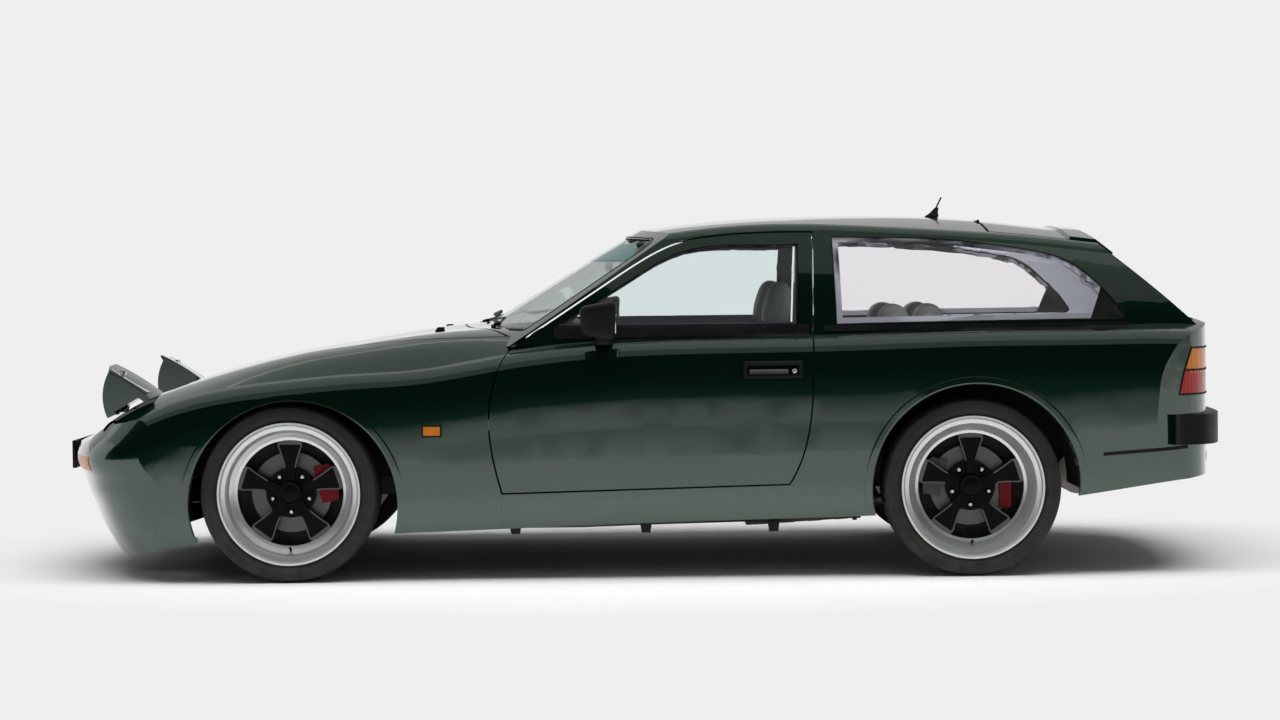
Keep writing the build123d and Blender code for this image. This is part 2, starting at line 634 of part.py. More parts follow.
def tail_panel():
    """Panel between the lamps, up to the tailgate's sill."""
    block = box(TAIL_TOP_X, 2100, -SIDE_REACH, SIDE_REACH, 628.4, 950)
    block += box(1930, 2100, -LAMP_INNER_Y, LAMP_INNER_Y, 628.4, 800)
    for side in (-1, 1):
        block -= side_block(polygon(LAMP, from_side), side, LAMP_INNER_Y)
    return layer(WHOLE, 0, PANEL_SKIN, block)


def tail_lamp():
    """Left tail lamp wrapped round the corner."""
    return layer(WHOLE, 0, PANEL_SKIN, side_block(polygon(LAMP, from_side), -1, LAMP_INNER_Y))


def tailgate_spoiler():
    """Lip wrapped over the end of the roof."""
    return (upper_body(-SPOILER_RISE) & box(1556, 1711, -SPOILER_HALF, SPOILER_HALF, 1100, 1300)) - UPPER[0]


# ---------------------------------------------------------------- wheels
def turned(profile, x, track):
    """Ring about a left wheel's axle from (outward, radius) points."""
    spots = [Vector(x, -track - out, AXLE_Z + r) for out, r in profile]
    return revolve(Face(Wire.make_polygon(spots)), Axis((x, 0, AXLE_Z), (0, 1, 0)))


def tyre(x, track, width):
    """Left tyre with rounded shoulders and a flat tread."""
    half = width / 2
    bead = RIM_RADIUS - FLANGE + BEAD_FIT
    tread = TYRE_RADIUS
    side = [(half - 17.5, bead), (half - 17.5, RIM_RADIUS + 2), (half - 5, RIM_RADIUS + 13),
            (half, (RIM_RADIUS + tread) / 2 - 4.5), (half - 2, tread - 21), (half - 9, tread - 9),
            (half - 22, tread - 1.5), (half - 40, tread)]
    return turned(side + [(-out, r) for out, r in reversed(side)], x, track)


def wheel_disc(x, track, out, thickness, radius):
    """Round plate square to a left wheel's axle, outward face first."""
    return disc(x, -track - out, -track - out + thickness, AXLE_Z, radius)


def petal(x, track, face, turn, shrink, depth):
    """One broad spoke, narrow at the hub and flared at the rim."""
    half = [(34, 17 - shrink), (66, 17 - shrink), (118, 27 - shrink), (166, 43 - shrink)]
    end = SPOKE_RADIUS + 4 - 4 * shrink
    right = [(w, r) for r, w in half]
    left = [(-w, r) for w, r in reversed(right)]
    edge = outline([right, [right[-1], (right[-1][0] - 3, end)], [(right[-1][0] - 3, end),
                    (3 - right[-1][0], end)], [(3 - right[-1][0], end), left[0]], left, [left[-1], right[0]]],
                   lambda a, b: (a, 0.0, b))
    leaf = extrude(edge.moved(Location((x, -track - face, AXLE_Z))), amount=depth, dir=(0, 1, 0))
    return leaf.rotate(Axis((x, 0, AXLE_Z), (0, 1, 0)), turn)


def rim(x, track, width):
    """Left rim: stepped lip, barrel, five petal spokes, hub with lug wells, and brake disc."""
    half = width / 2 - 8
    seat = RIM_RADIUS - FLANGE
    lip = [(half, RIM_RADIUS), (half, RIM_RADIUS - 7), (half - 9, seat), (half - 13, RIM_RADIUS - 26),
           (half - 30, RIM_RADIUS - 30), (half - 42, RIM_RADIUS - 37), (SPOKE_FACE + 5, SPOKE_RADIUS + 10),
           (SPOKE_FACE, SPOKE_RADIUS), (SPOKE_FACE - 20, SPOKE_RADIUS), (SPOKE_FACE - 32, SPOKE_RADIUS + 17),
           (SPOKE_FACE - 40, RIM_RADIUS - 29)]
    barrel = [(20 - half, RIM_RADIUS - 29), (-half, RIM_RADIUS - 21), (-half, RIM_RADIUS),
              (7 - half, RIM_RADIUS), (8 - half, seat), (half - 8, seat), (half - 7, RIM_RADIUS)]
    wheel = turned(lip + barrel, x, track)
    for i in range(SPOKES):
        turn = 360 / SPOKES * i
        leaf = petal(x, track, SPOKE_FACE, turn, 0, 22)
        wheel += leaf - petal(x, track, SPOKE_FACE, turn, 5, 3)
    hub = wheel_disc(x, track, SPOKE_FACE - 16, 44, HUB_RADIUS)
    for i in range(SPOKES):
        angle = math.radians(360 / SPOKES * (i + 0.5))
        well = wheel_disc(x, track, SPOKE_FACE - 15, 18, 12)
        hub -= well.moved(Location((LUG_CIRCLE * math.sin(angle), 0, LUG_CIRCLE * math.cos(angle))))
    wheel += hub
    wheel += wheel_disc(x, track, SPOKE_FACE + 12, 30, CAP_RADIUS)
    wheel += wheel_disc(x, track, HUB_BACK + 30, 30, 72)
    return wheel + wheel_disc(x, track, DISC_OUT, DISC_THICKNESS, DISC_RADIUS)


def caliper(x, track, angle):
    """Brake caliper straddling the disc, at an angle from the tail side upward."""
    body = wheel_disc(x, track, DISC_OUT + 19, DISC_THICKNESS + 38, DISC_RADIUS + 26)
    body -= wheel_disc(x, track, DISC_OUT + 6, DISC_THICKNESS + 12, DISC_RADIUS + 7)
    wedge = box(DISC_RADIUS - 46, DISC_RADIUS + 40, -1000, 0, -66, 66).moved(Location((x, 0, AXLE_Z)))
    return body & wedge.rotate(Axis((x, 0, AXLE_Z), (0, 1, 0)), -angle)


# ---------------------------------------------------------------- platform and running gear
def limb(spots, radius):
    """Round bar bent through points, with round joints."""
    bar = rod(spots[0], spots[1], radius)
    for start, end in zip(spots[1:], spots[2:]):
        bar = bar + rod(start, end, radius) + Pos(*start) * Sphere(radius)
    return bar


def wheel_house(place, radius, inner, shell, floor_z):
    """Left inner arch: curved liner inside a shell and its side wall above a height."""
    liner = arch(place, radius + LINER_WALL, inner, SIDE_REACH - 100)
    liner -= arch(place, radius, inner - 50, SIDE_REACH - 50)
    liner = (liner & shell) & box(-1700, 1700, 0, -SIDE_REACH, floor_z, 800)
    side = arch(place, radius + LINER_WALL, inner - LINER_WALL, inner)
    return liner + (side & box(-1700, 1700, 0, -SIDE_REACH, INNER_WALL_Z, 800))


def platform():
    """Floor, tunnel, bulkhead, legs and inner arches, welded into one shell."""
    inside = HULL[QUARTER_WALL]
    floor = box(-640, 780, -790, 790, PLATFORM_Z, PLATFORM_Z + 14) & inside
    tunnel = box(-640, 770, -130, 130, PLATFORM_Z, 400) - box(-700, 1000, -114, 114, 100, 386)
    bulkhead = box(-660, -640, -800, 800, PLATFORM_Z, 880) & HULL[POST_DEPTH]
    bulkhead += box(-642, -600, -120, 120, 830, 880) & HULL[PANEL_SKIN]
    bulkhead -= box(-670, -630, -114, 114, 100, 386)
    kick = box(766, 780, -560, 560, PLATFORM_Z, 434) + box(766, 1960, -470, 470, 420, 434)
    shelf = box(766, 780, -790, 790, PLATFORM_Z, 330) & inside
    kick -= box(760, 1000, -114, 114, 100, 386)
    shelf -= box(760, 1000, -114, 114, 100, 386)
    pan = floor + tunnel + bulkhead + kick + shelf
    pan -= box(-641, 781, -112, 112, 0, PLATFORM_Z + 20)
    pan += box(-1990, -1930, -400, 400, 340, 430)
    for side in (-1, 1):
        leg = box(-1990, -640, side * 330, side * 400, 340, 430)
        brace = box(-1640, -640, side * 400, side * 424, 340, 440)
        tower = rod((FRONT_AXLE_X, side * STRUT_TOP_Y, 640), (FRONT_AXLE_X, side * STRUT_TOP_Y, 742), 76)
        strut_hole = rod((FRONT_AXLE_X, side * STRUT_TOP_Y, 500), (FRONT_AXLE_X, side * STRUT_TOP_Y, 728), 52)
        house = wheel_house(FRONT_ARCH, FRONT_ARCH_RADIUS + TURN_ROOM, 436, WHOLE[PANEL_SKIN], 190)
        back_house = wheel_house(REAR_ARCH, REAR_ARCH_RADIUS + LINER_GAP, 470, HULL[QUARTER_WALL], 300)
        both = house + back_house
        both = both if side < 0 else both.mirror(Plane.XZ)
        shelf_side = box(1540, 1840, side * 460, side * 790, 420, 434) & inside
        shelf_side -= arch(REAR_ARCH, REAR_ARCH_RADIUS + LINER_GAP, 300, SIDE_REACH, side)
        pan += leg + brace + (both + tower - strut_hole) + shelf_side
    return pan


def strut_point(z):
    """Point of the left steering axis at a height."""
    share = (z - BALL_JOINT_Z) / (STRUT_TOP_Z - BALL_JOINT_Z)
    return (FRONT_AXLE_X, -(BALL_JOINT_Y + share * (STRUT_TOP_Y - BALL_JOINT_Y)), z)


def hub_carrier(x, track, angle):
    """Bearing housing, caliper and its bracket behind a left wheel."""
    carrier = wheel_disc(x, track, HUB_BACK - HUB_FIT, 44, 50)
    plate = box(20, DISC_RADIUS + 10, -track + 41, -track + 54, -24, 24).moved(Location((x, 0, AXLE_Z)))
    plate = plate.rotate(Axis((x, 0, AXLE_Z), (0, 1, 0)), -angle)
    return carrier + plate + caliper(x, track, angle)


def steering_knuckle():
    """Left upright that turns on its strut and ball joint."""
    upright = limb([strut_point(BALL_JOINT_Z), (FRONT_AXLE_X, -672, AXLE_Z - 20), strut_point(420)], 24)
    strut = rod(strut_point(400), strut_point(600), 26) + rod(strut_point(590), strut_point(STRUT_TOP_Z), 12)
    arm = limb([(FRONT_AXLE_X, -664, 262), (FRONT_AXLE_X - 112, -640, 250)], 13)
    ball = Pos(*strut_point(BALL_JOINT_Z)) * Sphere(26)
    return hub_carrier(FRONT_AXLE_X, FRONT_TRACK_HALF, 14) + upright + strut + arm + ball


def front_suspension():
    """Subframe, lower arms and steering rack."""
    frame = box(-1310, -1150, -392, 392, 214, 339.6)
    frame += rod((-1350, -420, 262), (-1350, 420, 262), 22) + box(-1372, -1310, -200, 200, 236, 300)
    for side in (-1, 1):
        socket = (FRONT_AXLE_X, side * (BALL_JOINT_Y - 8), BALL_JOINT_Z - 50)
        for start in (FRONT_AXLE_X - 92, FRONT_AXLE_X + 72):
            frame += rod((start, side * 380, 236), socket, 13)
        frame += rod((FRONT_AXLE_X, side * BALL_JOINT_Y, BALL_JOINT_Z - 54),
                     (FRONT_AXLE_X, side * BALL_JOINT_Y, BALL_JOINT_Z - 26.3), 24)
    return frame


def rear_suspension():
    """Cross tube, trailing arms, dampers, drive shafts, hub carriers and calipers."""
    axle = rod((860, -560, 378), (860, 560, 378), 34)
    axle += box(845, 875, -430, -380, 400, 419.8) + box(845, 875, 380, 430, 400, 419.8)
    half = hub_carrier(REAR_AXLE_X, REAR_TRACK_HALF, 166)
    half += rod((860, -500, 378), (REAR_AXLE_X - 20, -(REAR_TRACK_HALF - 62), 300), 26)
    half += rod((980, -560, 345), (1009, -514, 617), 20)
    half += rod((REAR_AXLE_X, -150, AXLE_Z), (REAR_AXLE_X, -(REAR_TRACK_HALF - 60), AXLE_Z), 17)
    left, right = both_sides(half)
    return axle + left + right


def engine_and_transaxle():
    """Engine block, torque tube and rear transaxle as one plain mass."""
    block = box(-1620, -900, -180, 180, 345, 650)
    mounts = box(-1330, -1270, -330, 330, 380, 430)
    bell = box(-1000, -700, -105, 105, 250, 380)
    tube = rod((-700, 0, 296), (1002, 0, 296), 44)
    return block + mounts + bell + tube + box(1000, 1380, -150, 150, 214, 408)


def exhaust_system():
    """Pipe along the tunnel, cross silencer and tailpipe."""
    pipe = limb([(-1000, 150, 330), (-880, 130, 215), (-720, 86, 212), (900, 86, 196), (1000, 190, 196),
                 (1400, 190, 206), (1600, 190, 330)], 22)
    silencer = rod((1600, -420, 330), (1600, 400, 330), 78)
    tail = limb([(1600, -380, 340), (1760, EXHAUST_Y, EXHAUST_Z), (EXHAUST_END_X, EXHAUST_Y, EXHAUST_Z)],
                EXHAUST_RADIUS)
    return pipe + silencer + tail - rod((EXHAUST_END_X - 60, EXHAUST_Y, EXHAUST_Z),
                                        (EXHAUST_END_X + 10, EXHAUST_Y, EXHAUST_Z), 22)


# ---------------------------------------------------------------- cabin
def swept_side(points, y0, y1):
    """Straight-sided side view drawn out between two widths."""
    low, high = min(y0, y1), max(y0, y1)
    return extrude(polygon(points, from_side).moved(Location((0, low, 0))), amount=high - low, dir=(0, 1, 0))


def dashboard():
    """Dashboard with hood and steering column."""
    profile = [(-639.6, 560), (-639.6, 850), (-560, 862), (-430, 852), (-330, 800), (-312, 720), (-360, 640),
               (-480, 570)]
    board = swept_side(profile, -660, 660) & lower_hull(DOOR_WALL + 8)
    column_end = Vector(*WHEEL_MIDDLE) - Vector(*COLUMN_AXIS) * (STEERING_HUB_DEPTH + COLUMN_FIT)
    return board + rod((-420, COLUMN_Y, 609), tuple(column_end), 26)


def steering_wheel():
    """Three-spoke steering wheel."""
    plane = Plane(origin=WHEEL_MIDDLE, z_dir=COLUMN_AXIS)
    ring = plane.location * Torus(STEERING_RADIUS, 14)
    back = plane.origin - plane.z_dir * STEERING_HUB_DEPTH
    hub = Solid.make_cylinder(48, 34, Plane(origin=back, z_dir=plane.z_dir))
    wheel = ring + hub
    for turn in (-20, 200, 90):
        spoke = Pos(STEERING_RADIUS / 2, 0, 0) * Box(STEERING_RADIUS - 8, 30, 12)
        wheel += plane.location * Rot(0, 0, turn) * spoke
    return wheel


def front_seat():
    """Left front seat: cushion on its runner and back with built-in head rest."""
    cushion = swept_side([(-80, 250), (-70, 350), (360, 320), (430, 300), (430, 230), (-60, 230)], -600, -160)
    rest = [(440, 850), (452, 1010), (480, 1050), (530, 1052), (566, 1000), (560, 900), (500, 560)]
    back = swept_side([(400, 280), (330, 280), (318, 336)] + rest, -590, -170)
    runner = box(0, 380, -560, -530, 190.3, 230) + box(0, 380, -230, -200, 190.3, 230)
    return cushion + back + runner


def rear_seat():
    """Two small rear seats with head rests."""
    rest = [(1030, 560), (1080, 800), (1150, 800), (1150, 434.4)]
    seat = swept_side([(800, 434.4), (800, 520), (1010, 500)] + rest, -455, 455)
    for side in (-1, 1):
        seat += box(1076, 1148, side * 110, side * 390, 790, 960)
    return seat


def wipers():
    """Two wiper arms with blades lying on the windscreen."""
    pieces = []
    for pivot_y in (-420, 120):
        rise = (0, 8.5, 37, 25.5, 34)
        spots = [screen_spot(pivot_y + 130 * i, 896 + step, 9) for i, step in enumerate(rise)]
        pieces.append(limb(spots, 6))
        base = screen_spot(pivot_y, 890, 20)
        pieces.append(limb([base, (base[0] - 4, base[1], 870)], 9) + rod(base, spots[0], 7))
    return pieces[0] + pieces[1] + pieces[2] + pieces[3] - WHOLE[0] - UPPER[0]


def screen_spot(y, z, lift):
    """Point in front of the windscreen at a width and height."""
    return (curve(SCREEN_CENTRE, z) + SCREEN_SWEEP * y * y - lift, y, z)


def antenna():
    """Short roof aerial on its foot."""
    foot = Pos(1112, 0, curve(ROOF_CENTRE, 1112) + 3) * Cylinder(24, 10)
    return (foot + rod((1112, 0, 1268), (1150, 0, 1345), 3)) - UPPER[0]


def indicator_lamps():
    """Side markers on the wings and front indicators in the bumper."""
    proud = lower_body(-LAMP_PROUD)
    left = (proud & box(-758, -698, -780, -SIDE_REACH, 512, 544)) - WHOLE[0]
    front = (proud & box(-2100, -1800, -500, -690, 392, 440)) - WHOLE[0]
    one, two = both_sides(left), both_sides(front)
    return one[0] + one[1] + two[0] + two[1]


def door_handle():
    """Left pull handle in its black surround."""
    plate = box(366, 576, -780, -SIDE_REACH, 700, 762) & lower_hull(-HANDLE_PROUD)
    return plate - HULL[0]


def door_mirror():
    """Left mirror: rounded head on a short foot."""
    head = box(-206, -60, -838, -986, 868, 984)
    head = fillet(head.edges().filter_by(Axis.X) + head.edges().filter_by(Axis.Z), 24)
    foot = limb([(-160, -752, 836), (-152, -800, 866), (-140, -850, 900)], 22)
    base = box(-216, -112, -742, -775, 800, 850)
    return head + foot + base - HULL[0]


# ---------------------------------------------------------------- the whole car
def export_all(nodes):
    """One STEP file for each node."""
    os.makedirs("parts", exist_ok=True)
    for name, shape in nodes.items():
        solids = shape.solids()
        export_step(solids[0] if len(solids) == 1 else Compound(children=solids), f"parts/{name}.step")


def build():
    """Every node of the car by name."""
    nodes = {
        "floor_pan": platform(),
        "roof_panel": roof_panel(),
        "front_bumper": front_bumper(),
        "chin_spoiler": chin_spoiler(),
        "rear_bumper": rear_bumper(),
        "bumper_pads": bumper_pads(),
        "rear_valance": rear_valance() - rod((1800, EXHAUST_Y, EXHAUST_Z), (2100, EXHAUST_Y, EXHAUST_Z), 38),
        "tail_panel": tail_panel(),
        "scuttle_panel": scuttle(),
        "windscreen": pane(SCREEN, from_front, lambda face: front_block(face, -700, 250)),
        "front_seats": Compound(children=list(both_sides(front_seat()))),
        "rear_seat": rear_seat(),
        "dashboard": dashboard(),
        "engine_and_transaxle": engine_and_transaxle(),
        "exhaust_system": exhaust_system(),
        "front_suspension": front_suspension(),
        "rear_suspension": rear_suspension(),
        "wiper_arms": wipers(),
        "antenna": antenna(),
        "indicator_lamps": indicator_lamps(),
        "bonnet": bonnet(),
        "tailgate": tailgate_frame(),
        "tailgate_glass": pane(TAILGATE_LIGHT, from_above, top_block),
        "tailgate_spoiler": tailgate_spoiler(),
        "steering_wheel": steering_wheel(),
    }
    quarter_glass = pane(QUARTER_LIGHT, from_side, lambda face: side_block(face, -1, 400))
    nodes["rear_side_windows"] = Compound(children=list(both_sides(quarter_glass)))
    nodes["tail_lamps"] = Compound(children=list(both_sides(tail_lamp())))
    handed = {
        "side_panel": side_panel(),
        "front_wing": front_wing(),
        "door": door_leaf(),
        "door_glass": pane(DOOR_LIGHT, from_side, lambda face: side_block(face, -1, 400)),
        "door_mirror": door_mirror(),
        "door_handle": door_handle(),
        "headlamp_pod": lamp_pod(),
        "headlamp_lens": lamp_lens(),
        "steering_knuckle": steering_knuckle(),
        "tyre_front": tyre(FRONT_AXLE_X, FRONT_TRACK_HALF, FRONT_TYRE_WIDTH),
        "tyre_rear": tyre(REAR_AXLE_X, REAR_TRACK_HALF, REAR_TYRE_WIDTH),
        "rim_front": rim(FRONT_AXLE_X, FRONT_TRACK_HALF, FRONT_TYRE_WIDTH),
        "rim_rear": rim(REAR_AXLE_X, REAR_TRACK_HALF, REAR_TYRE_WIDTH),
    }
    for name, left in handed.items():
        nodes[f"{name}_left"], nodes[f"{name}_right"] = both_sides(left)
    return nodes


export_all(build())
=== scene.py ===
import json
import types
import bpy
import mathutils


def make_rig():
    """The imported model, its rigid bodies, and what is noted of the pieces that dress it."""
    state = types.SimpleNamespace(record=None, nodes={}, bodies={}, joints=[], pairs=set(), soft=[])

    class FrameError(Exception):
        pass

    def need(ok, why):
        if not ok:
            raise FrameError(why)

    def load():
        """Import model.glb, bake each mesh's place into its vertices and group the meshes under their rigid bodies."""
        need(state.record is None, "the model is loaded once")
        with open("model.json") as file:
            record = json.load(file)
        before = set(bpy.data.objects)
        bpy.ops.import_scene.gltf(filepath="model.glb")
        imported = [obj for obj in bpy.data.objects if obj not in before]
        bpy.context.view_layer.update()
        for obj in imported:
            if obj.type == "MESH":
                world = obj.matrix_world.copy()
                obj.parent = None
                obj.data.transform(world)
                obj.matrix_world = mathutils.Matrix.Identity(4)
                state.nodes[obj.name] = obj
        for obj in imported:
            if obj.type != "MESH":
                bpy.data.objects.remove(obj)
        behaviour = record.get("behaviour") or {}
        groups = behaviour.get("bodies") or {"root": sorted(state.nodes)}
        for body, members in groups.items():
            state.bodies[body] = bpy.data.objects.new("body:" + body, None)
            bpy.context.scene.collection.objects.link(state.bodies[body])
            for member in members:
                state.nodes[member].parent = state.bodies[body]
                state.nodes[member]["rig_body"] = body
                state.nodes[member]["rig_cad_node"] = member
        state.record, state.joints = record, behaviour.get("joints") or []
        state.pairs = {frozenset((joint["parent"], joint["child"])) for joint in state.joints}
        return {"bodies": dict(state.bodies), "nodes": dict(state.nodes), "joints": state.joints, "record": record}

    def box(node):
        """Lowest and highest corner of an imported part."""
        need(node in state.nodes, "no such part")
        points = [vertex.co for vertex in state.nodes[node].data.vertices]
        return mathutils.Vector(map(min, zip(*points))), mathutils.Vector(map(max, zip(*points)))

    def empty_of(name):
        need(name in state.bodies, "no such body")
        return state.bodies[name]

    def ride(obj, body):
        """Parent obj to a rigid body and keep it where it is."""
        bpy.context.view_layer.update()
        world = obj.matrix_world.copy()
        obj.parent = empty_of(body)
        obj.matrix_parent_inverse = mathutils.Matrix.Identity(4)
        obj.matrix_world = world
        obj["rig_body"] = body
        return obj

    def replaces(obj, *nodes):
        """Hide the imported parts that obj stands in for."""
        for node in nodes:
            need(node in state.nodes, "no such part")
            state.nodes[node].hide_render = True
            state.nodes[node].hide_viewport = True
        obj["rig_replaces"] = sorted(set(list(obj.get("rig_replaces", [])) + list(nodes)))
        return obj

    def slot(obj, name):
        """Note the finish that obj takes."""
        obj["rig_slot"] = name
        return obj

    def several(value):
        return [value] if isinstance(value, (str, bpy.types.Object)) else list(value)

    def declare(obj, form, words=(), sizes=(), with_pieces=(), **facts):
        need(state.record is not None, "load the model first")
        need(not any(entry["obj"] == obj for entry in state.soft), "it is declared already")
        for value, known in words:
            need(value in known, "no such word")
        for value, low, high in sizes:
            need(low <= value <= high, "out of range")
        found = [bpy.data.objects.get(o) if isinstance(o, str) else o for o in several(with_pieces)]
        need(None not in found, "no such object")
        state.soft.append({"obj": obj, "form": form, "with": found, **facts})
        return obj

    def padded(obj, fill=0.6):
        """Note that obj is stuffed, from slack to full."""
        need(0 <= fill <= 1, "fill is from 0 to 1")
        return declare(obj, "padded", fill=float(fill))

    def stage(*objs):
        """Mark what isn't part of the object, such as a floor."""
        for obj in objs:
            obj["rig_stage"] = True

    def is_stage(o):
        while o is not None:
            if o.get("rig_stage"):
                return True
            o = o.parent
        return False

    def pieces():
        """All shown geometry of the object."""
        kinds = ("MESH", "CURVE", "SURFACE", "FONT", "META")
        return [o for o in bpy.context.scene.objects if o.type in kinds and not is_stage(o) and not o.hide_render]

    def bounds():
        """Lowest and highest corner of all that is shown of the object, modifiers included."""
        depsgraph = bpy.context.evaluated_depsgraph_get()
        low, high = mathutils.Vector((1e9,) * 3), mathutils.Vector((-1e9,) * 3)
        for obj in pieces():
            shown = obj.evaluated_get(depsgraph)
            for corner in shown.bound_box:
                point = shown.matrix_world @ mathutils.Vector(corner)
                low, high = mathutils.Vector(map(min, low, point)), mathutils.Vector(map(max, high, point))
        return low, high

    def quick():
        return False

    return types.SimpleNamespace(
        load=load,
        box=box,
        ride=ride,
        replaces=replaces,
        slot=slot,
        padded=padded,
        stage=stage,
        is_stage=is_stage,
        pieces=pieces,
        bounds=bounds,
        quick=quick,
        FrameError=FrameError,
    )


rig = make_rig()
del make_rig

bl_info = {
    "name": "Sports Coupe Looks",
    "version": (1, 0, 0),
    "blender": (4, 5, 0),
    "location": "3D View > Sidebar > Coupe",
    "description": "Finishes, cabin, lamps, seals and small parts for a two-door sports coupe",
    "category": "Object",
}

import json
import math
import sys
from contextlib import contextmanager

import bpy
import numpy as np
from mathutils import Euler, Matrix, Vector

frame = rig.load()
CAD_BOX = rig.bounds()
NODES = frame["nodes"]
SIDES = ("left", "right")
SIDE_SIGN = {"left": -1.0, "right": 1.0}


def middle(node):
    """Centre of a CAD node's box."""
    low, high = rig.box(node)
    return (low + high) / 2


WHEEL_NODES = [f"{axle}_{side}" for axle in ("front", "rear") for side in SIDES]
# Turns that lay an upright primitive along X or Y.
ALONG_X = (0, math.pi / 2, 0)
ALONG_Y = (math.pi / 2, 0, 0)
# Least angle of an edge that is rounded, in radians.
SHARP_EDGE = 0.6
MERGE_DISTANCE = 0.00002
# Place across the car that is clear of its left side, where sheets start before they are pressed on.
BESIDE = -1.1


# ------------------------------------------------------------------ settings
class CoupePaintSettings(bpy.types.PropertyGroup):
    """Body paint."""

    colour: bpy.props.FloatVectorProperty(
        name="Paint colour", description="Base colour of the body paint", subtype="COLOR", size=3,
        default=(0.003, 0.030, 0.014), min=0, max=1)
    sheen_colour: bpy.props.FloatVectorProperty(
        name="Flake colour", description="Colour of the metal flakes in the light", subtype="COLOR", size=3,
        default=(0.010, 0.088, 0.044), min=0, max=1)
    flake_size: bpy.props.FloatProperty(
        name="Flake size", description="Width of one metal flake", default=0.0012, min=0.0002, unit="LENGTH")
    roughness: bpy.props.FloatProperty(
        name="Roughness", description="Roughness under the clear coat", default=0.24, min=0, max=1,
        subtype="FACTOR")


class CoupeTrimSettings(bpy.types.PropertyGroup):
    """Trim, wheels and glass."""

    glass_tint: bpy.props.FloatVectorProperty(
        name="Glass tint", description="Colour of the side and rear glass", subtype="COLOR", size=3,
        default=(0.923, 0.980, 0.985), min=0, max=1)
    # Caliper red, darker than the enamel under light, so that it also carries painted shade from inside the wheel.
    caliper_colour: bpy.props.FloatVectorProperty(
        name="Caliper colour", description="Enamel on the brake calipers", subtype="COLOR", size=3,
        default=(0.20, 0.004, 0.008), min=0, max=1)
    seal_width: bpy.props.FloatProperty(
        name="Seal width", description="Width of the rubber round each pane", default=0.010, min=0.002,
        unit="LENGTH")


class CoupeStageSettings(bpy.types.PropertyGroup):
    """Studio."""

    background: bpy.props.FloatProperty(
        name="Background", description="Grey level of floor and backdrop", default=0.86, min=0, max=1,
        subtype="FACTOR")
    lamp_power: bpy.props.FloatProperty(
        name="Lamp power", description="Power of the overhead softbox", default=460.0, min=0, unit="POWER")
    camera_distance: bpy.props.FloatProperty(
        name="Camera distance", description="From the car's centre line to the lens", default=10.9, min=2,
        unit="LENGTH")
    camera_height: bpy.props.FloatProperty(
        name="Camera height", description="Height of the lens above the floor", default=1.115, min=0.1,
        unit="LENGTH")


# ------------------------------------------------------------------ modelling helpers
def clear_selection():
    """Leaves object mode with nothing selected."""
    if bpy.context.mode != "OBJECT":
        bpy.ops.object.mode_set(mode="OBJECT")
    bpy.ops.object.select_all(action="DESELECT")


def activate(item):
    """Makes one object the only selected and active one."""
    clear_selection()
    item.select_set(True)
    bpy.context.view_layer.objects.active = item
    return item


def settle(item):
    """Moves an object's place, turn and size into its mesh."""
    activate(item)
    bpy.ops.object.transform_apply(location=True, rotation=True, scale=True)
    return item


def primitive(kind, name, scale=(1, 1, 1), **values):
    """New primitive at its size and place, as an object at the origin."""
    clear_selection()
    getattr(bpy.ops.mesh, f"primitive_{kind}_add")(**values)
    item = bpy.context.object
    item.scale = scale
    item.name = name
    item.data.name = name
    return settle(item)


def block(name, low, high):
    """Box between two corners, to be shaped further."""
    low, high = Vector(low), Vector(high)
    return primitive("cube", name, size=1, location=(low + high) / 2, scale=tuple(high - low))


def slab(name, x_range, y, half, z_range):
    """Box that reaches as far to the left as to the right of a place across the car."""
    return block(name, (x_range[0], y - half, z_range[0]), (x_range[1], y + half, z_range[1]))


def plug(name, sides, radius, depth, place, turn=(0, 0, 0)):
    """Short upright or turned cylinder, to be shaped further."""
    return primitive("cylinder", name, vertices=sides, radius=radius, depth=depth, location=place,
                     rotation=turn)


@contextmanager
def picked(item, kind, test=None):
    """Edit mode with the vertices, edges or faces picked whose place (and normal) passes a test."""
    activate(item)
    mesh = item.data
    bpy.context.tool_settings.mesh_select_mode = tuple(kind == name for name in ("VERT", "EDGE", "FACE"))
    for elements in (mesh.vertices, mesh.edges, mesh.polygons):
        elements.foreach_set("select", np.zeros(len(elements), dtype=bool))
    if kind == "VERT":
        for vertex in mesh.vertices:
            vertex.select = test is None or test(vertex.co)
    elif kind == "EDGE":
        for edge in mesh.edges:
            start, end = (mesh.vertices[i].co for i in edge.vertices)
            edge.select = test is None or test((start + end) / 2, end - start)
    else:
        for face in mesh.polygons:
            face.select = test is None or test(face.center, face.normal)
    bpy.ops.object.mode_set(mode="EDIT")
    yield
    bpy.ops.object.mode_set(mode="OBJECT")


def tailward(centre, normal):
    """Faces that look to the tail."""
    return normal.x > 0.9


def noseward(centre, normal):
    """Faces that look to the nose."""
    return normal.x < -0.9


def upward(centre, normal):
    """Faces that look up."""
    return normal.z > 0.9


def downward(centre, normal):
    """Faces that look down."""
    return normal.z < -0.9


def leftward(centre, normal):
    """Faces that look to the car's left."""
    return normal.y < -0.9


def rightward(centre, normal):
    """Faces that look to the car's right."""
    return normal.y > 0.9


def move_by(step):
    """Moves what is picked."""
    bpy.ops.transform.translate(value=step)


def inset(width, **values):
    """Insets the picked faces."""
    bpy.ops.mesh.inset(thickness=width, **values)


def resize(share, about=None):
    """Resizes what is picked, about its middle or about a point."""
    values = {"center_override": about} if about else {}
    bpy.ops.transform.resize(value=share, **values)


def turn_by(angle, about):
    """Turns what is picked about a line across the car."""
    bpy.ops.transform.rotate(value=angle, orient_axis="Y", center_override=about)


def extrude_by(step):
    """Extrudes the picked faces by a step."""
    bpy.ops.mesh.extrude_region_move(TRANSFORM_OT_translate={"value": step})


def extrude_edges_by(step):
    """Extrudes the picked edges by a step."""
    bpy.ops.mesh.extrude_edges_move(TRANSFORM_OT_translate={"value": step})


